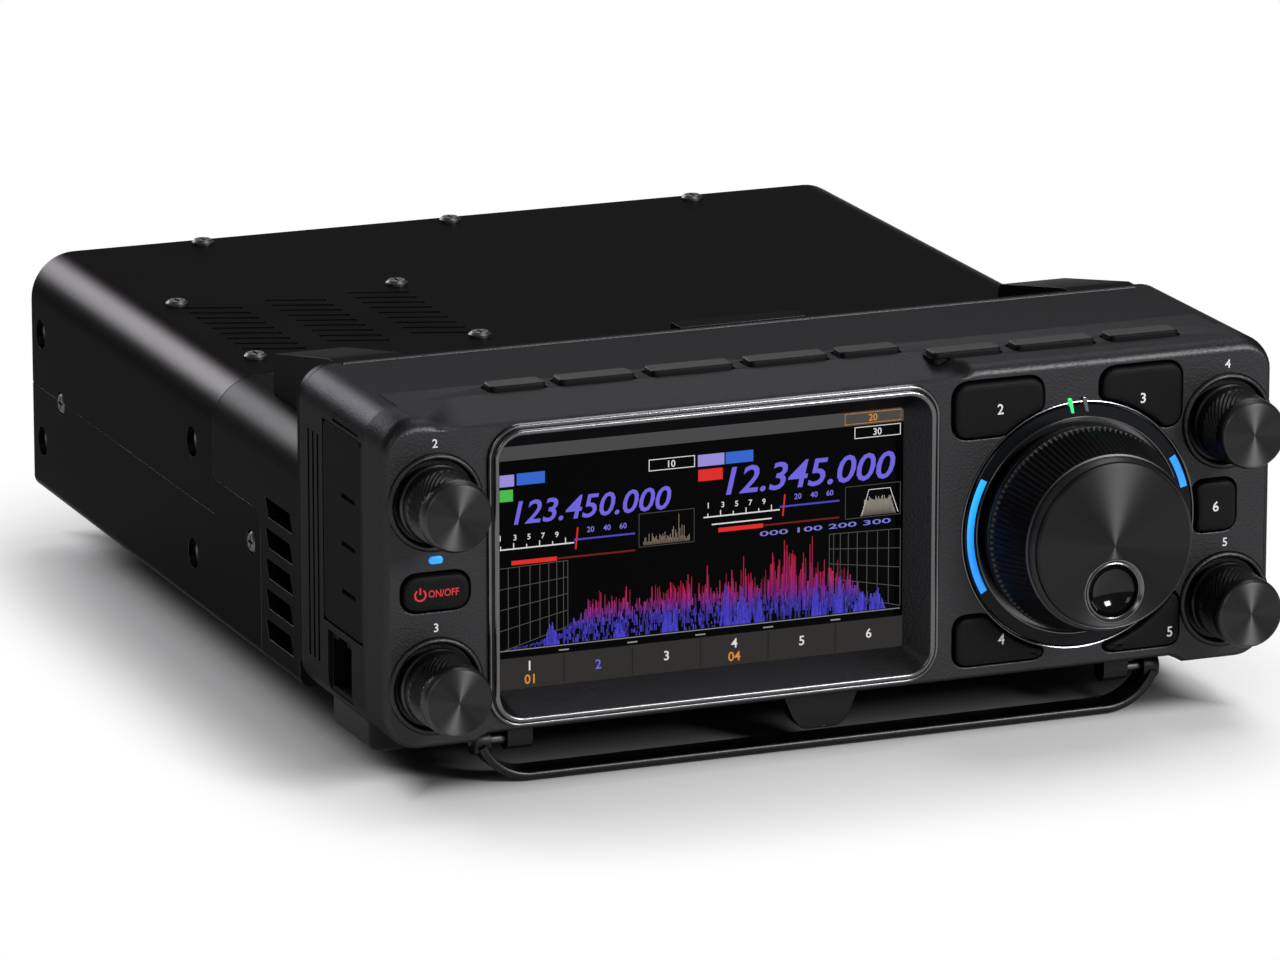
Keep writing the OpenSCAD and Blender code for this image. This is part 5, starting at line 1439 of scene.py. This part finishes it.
class TRANSCEIVER_OT_trim(bpy.types.Operator):
    """Case trim: a half-round bead along the head's rear top edge, and a ring in each bracket hole."""

    bl_idname = "transceiver.trim"
    bl_label = "Case trim"

    BEAD_R = 0.5
    BEAD_X = 98.0
    # Radius and drop below the side of a bracket ring's section.
    RING = ((3.5, 2.3), (3.5, 1.7), (3.3, 1.5), (2.5, 1.5), (2.1, 1.9), (2.1, 2.3))

    def execute(self, context):
        shell = Shell()
        section = arc(CASE_HIGH[1] - ORIGIN[1] - self.BEAD_R, HEAD_H - 0.1, self.BEAD_R, 0, 180, 13)
        shell.sweep(np.stack([lay("right", section, x) for x in (-self.BEAD_X, self.BEAD_X)]))
        shell.build("case_bead", "deck", finish("head_paint"), "case", (), 40)
        shell = Shell()
        for side in ("left", "right"):
            for y in BRACKET_Y:
                for z in BRACKET_Z:
                    rows = [lay(side, circle(y, z, r, 48), HALF_W - drop) for r, drop in self.RING]
                    shell.grid(np.stack(rows), ring=True)
        shell.build("bracket_rings", "deck", finish("screw_black"), "cover")
        return {"FINISHED"}


# Finish of each CAD node that is seen, as it is or as a copy with rounded edges.
NODE_FINISH = {
    "rear_case": "head_paint", "front_frame": "frame_paint", "top_cover": "cover_paint",
    "bottom_cover": "cover_paint", "chassis": "casting", "cover_screws": "screw_black",
    "stand_pivots": "screw_black", "side_jacks": "gap_black", "mic_socket": "gap_black",
    "speaker": "gap_black", "antenna_sockets": "nickel", "ground_post": "brass_plate",
    "power_board": "board_mask", "control_board": "board_mask", "top_key_board": "board_mask",
    "logic_board": "board_mask", "lcd_module": "can_metal", "key_switches": "can_metal",
    "encoder_bodies": "can_metal", "dial_encoder": "can_metal", "dial_shaft": "plated_steel",
    **{"shaft_" + k: "plated_steel" for k in KNOBS},
}
# The other nodes are of this plastic, or a piece replaces them.
OTHER_FINISH = "case_plastic"
# Slot and edge rounding of the CAD nodes that are copied with rounded edges.
EASED = {
    "rear_case": ("case", 0.5), "front_frame": ("frame", 0.8), "top_cover": ("cover", 0.35),
    "bottom_cover": ("cover", 0.35), "fan_frame": ("case", 0.2), "dc_inlet": ("socket", 0.3),
}


class TRANSCEIVER_OT_finishes(bpy.types.Operator):
    """Finishes of the CAD nodes, and copies of some of them with rounded edges."""

    bl_idname = "transceiver.finishes"
    bl_label = "Frame finishes"

    def execute(self, context):
        for node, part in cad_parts.items():
            part.data.materials.clear()
            part.data.materials.append(finish(NODE_FINISH.get(node, OTHER_FINISH)))
        for node, (slot, width) in EASED.items():
            eased_copy(node, "deck", finish(NODE_FINISH.get(node, OTHER_FINISH)), width)
        return {"FINISHED"}


# Stage, in metres. Lamps: name, place, aim, size, power in watts and colour.
LAMPS = (
    ("key", (0.68, -1.25, 0.62), (0, -0.1, 0.05), (0.4, 0.35), 22, (1, 1, 1)),
    ("top", (0.48, -0.02, 1.35), (0, 0, 0.05), (0.6, 0.5), 4, (1, 1, 1)),
    ("back_left", (-0.35, 1.35, 0.65), (-0.05, 0, 0.05), (0.9, 0.4), 13, (0.97, 0.97, 1)),
    ("back_right", (0.52, 1.15, 1.0), (0, 0, 0.05), (0.8, 0.5), 7, (1, 0.99, 0.99)),
    ("fill", (-1.2, -1.0, 0.9), (0, -0.1, 0.05), (0.6, 0.6), 3, (1, 1, 1)),
)
SENSOR = 36.0
FLOOR_CORNERS = [(-4, -4, 0), (4, -4, 0), (4, 6, 0), (-4, 6, 0)]
# Half sizes of the painted shadow right under the object, its shift in depth, and half sizes of the lit
# paper.
PAINTED_SHADOW_X, PAINTED_SHADOW_Y, PAINTED_SHADOW_SHIFT = 0.1, 0.122, 0.005
PAPER_X, PAPER_Y = 0.108, 0.141


class TRANSCEIVER_OT_stage(bpy.types.Operator):
    """Camera at the photograph's viewing angle, pale floor and soft studio light."""

    bl_idname = "transceiver.stage"
    bl_label = "Stage"

    def execute(self, context):
        s = context.scene.transceiver_stage
        scene = context.scene
        scene.view_settings.view_transform = "Standard"
        camera = bpy.data.cameras.new("camera")
        camera.sensor_width = SENSOR
        camera.lens = s.lens
        camera.clip_end = 50
        holder = bpy.data.objects.new("camera", camera)
        holder.location = s.place
        holder.rotation_euler = (math.pi / 2 - s.pitch, 0, -s.yaw)
        scene.collection.objects.link(holder)
        scene.camera = holder
        self.floor(s)
        self.world(scene)
        for lamp in LAMPS:
            self.lamp(scene, *lamp)
        return {"FINISHED"}

    def lamp(self, scene, name, place, aim, size, power, colour):
        """Rectangular area lamp turned to its aim."""
        lamp = bpy.data.lights.new(name, "AREA")
        lamp.shape = "RECTANGLE"
        lamp.size, lamp.size_y = size
        lamp.energy = power
        lamp.color = colour
        light = bpy.data.objects.new(name, lamp)
        light.location = place
        light.rotation_euler = (Vector(aim) - Vector(place)).to_track_quat("-Z", "Y").to_euler()
        scene.collection.objects.link(light)

    def floor(self, s):
        """Flat floor: paper with a painted shadow, darker in a box right under the object, that goes over
        into plain white.

        The paper's border is where the length of the squared place, x over PAPER_X and y over PAPER_Y, is 1.
        """
        mesh = bpy.data.meshes.new("floor")
        mesh.from_pydata(FLOOR_CORNERS, [], [(0, 1, 2, 3)])
        material, tree, shader, place = start("floor_paper")
        grain = shared(tree, "grain", {"Vector": place["Object"]})
        paper = shade_and_bump(tree, shader, grain, s.floor, 0.02, 0.8, 0.05, 0.02, 0.0001)
        # The paper's colour is scaled down in a box right under the object: a painted shadow.
        size, shift = (1 / PAINTED_SHADOW_X, 1 / PAINTED_SHADOW_Y, 0), (0, -PAINTED_SHADOW_SHIFT / PAINTED_SHADOW_Y, 0)
        box = vectors(tree, "ABSOLUTE", vectors(tree, "MULTIPLY_ADD", place["Object"], size, shift))
        parts = add(tree, "SeparateXYZ", {0: box})
        under = ramp(tree, maths(tree, "MAXIMUM", parts[0], parts[1]), 0.1, 1.0, 0.9, 1.03, "SMOOTHSTEP")
        feed(tree, shader, {"Base Color": scaled(tree, paper, under)})
        oval = vectors(tree, "MULTIPLY", place["Object"], (1 / PAPER_X, 1 / PAPER_Y, 0))
        reach = vectors(tree, "LENGTH", vectors(tree, "MULTIPLY", oval, oval), result="Value")
        far = ramp(tree, reach, 0.0, 1.0, 1.0, 1.9, "SMOOTHSTEP")
        ray = add(tree, "LightPath", {})
        seen = maths(tree, "MAXIMUM", ray["Is Camera Ray"], ray["Is Glossy Ray"])
        seen = maths(tree, "MAXIMUM", seen, ray["Is Transmission Ray"])
        white = add(tree, "Emission", {})[0]
        share = maths(tree, "MULTIPLY", seen, far)
        surface = add(tree, "MixShader", {0: share, 1: shader.outputs[0], 2: white})[0]
        feed(tree, tree.nodes["Material Output"], {"Surface": surface})
        mesh.materials.append(material)
        floor = bpy.data.objects.new("floor", mesh)
        bpy.context.scene.collection.objects.link(floor)

    def world(self, scene):
        """Plain grey surround."""
        world = bpy.data.worlds.new("studio")
        world.use_nodes = True
        tree = world.node_tree
        feed(tree, tree.nodes["Background"], {"Color": (0.5, 0.5, 0.51, 1), "Strength": 0.3})
        scene.world = world


OPERATORS = (
    TRANSCEIVER_OT_finishes, TRANSCEIVER_OT_panel, TRANSCEIVER_OT_wells, TRANSCEIVER_OT_display,
    TRANSCEIVER_OT_screen, TRANSCEIVER_OT_keys, TRANSCEIVER_OT_dial, TRANSCEIVER_OT_lights,
    TRANSCEIVER_OT_knobs, TRANSCEIVER_OT_marks, TRANSCEIVER_OT_stand, TRANSCEIVER_OT_feet,
    TRANSCEIVER_OT_flap, TRANSCEIVER_OT_trim, TRANSCEIVER_OT_stage,
)


class TRANSCEIVER_PT_pieces(bpy.types.Panel):
    """Lists the pieces in the sidebar."""

    bl_idname = "TRANSCEIVER_PT_pieces"
    bl_label = "Mobile transceiver"
    bl_space_type = "VIEW_3D"
    bl_region_type = "UI"
    bl_category = "Transceiver"

    def draw(self, context):
        for operator in OPERATORS:
            self.layout.operator(operator.bl_idname)


SETTINGS = {
    "transceiver_panel": PanelSettings,
    "transceiver_dial": DialSettings,
    "transceiver_screen": ScreenSettings,
    "transceiver_stage": StageSettings,
}


def register():
    for kind in (*SETTINGS.values(), *OPERATORS, TRANSCEIVER_PT_pieces):
        bpy.utils.register_class(kind)
    for name, kind in SETTINGS.items():
        setattr(bpy.types.Scene, name, bpy.props.PointerProperty(type=kind))


def unregister():
    for name in SETTINGS:
        delattr(bpy.types.Scene, name)
    for kind in (TRANSCEIVER_PT_pieces, *OPERATORS, *SETTINGS.values()):
        bpy.utils.unregister_class(kind)


def main():
    register()
    for operator in OPERATORS:
        group, call = operator.bl_idname.split(".")
        getattr(getattr(bpy.ops, group), call)()


if __name__ == "__main__":
    main()
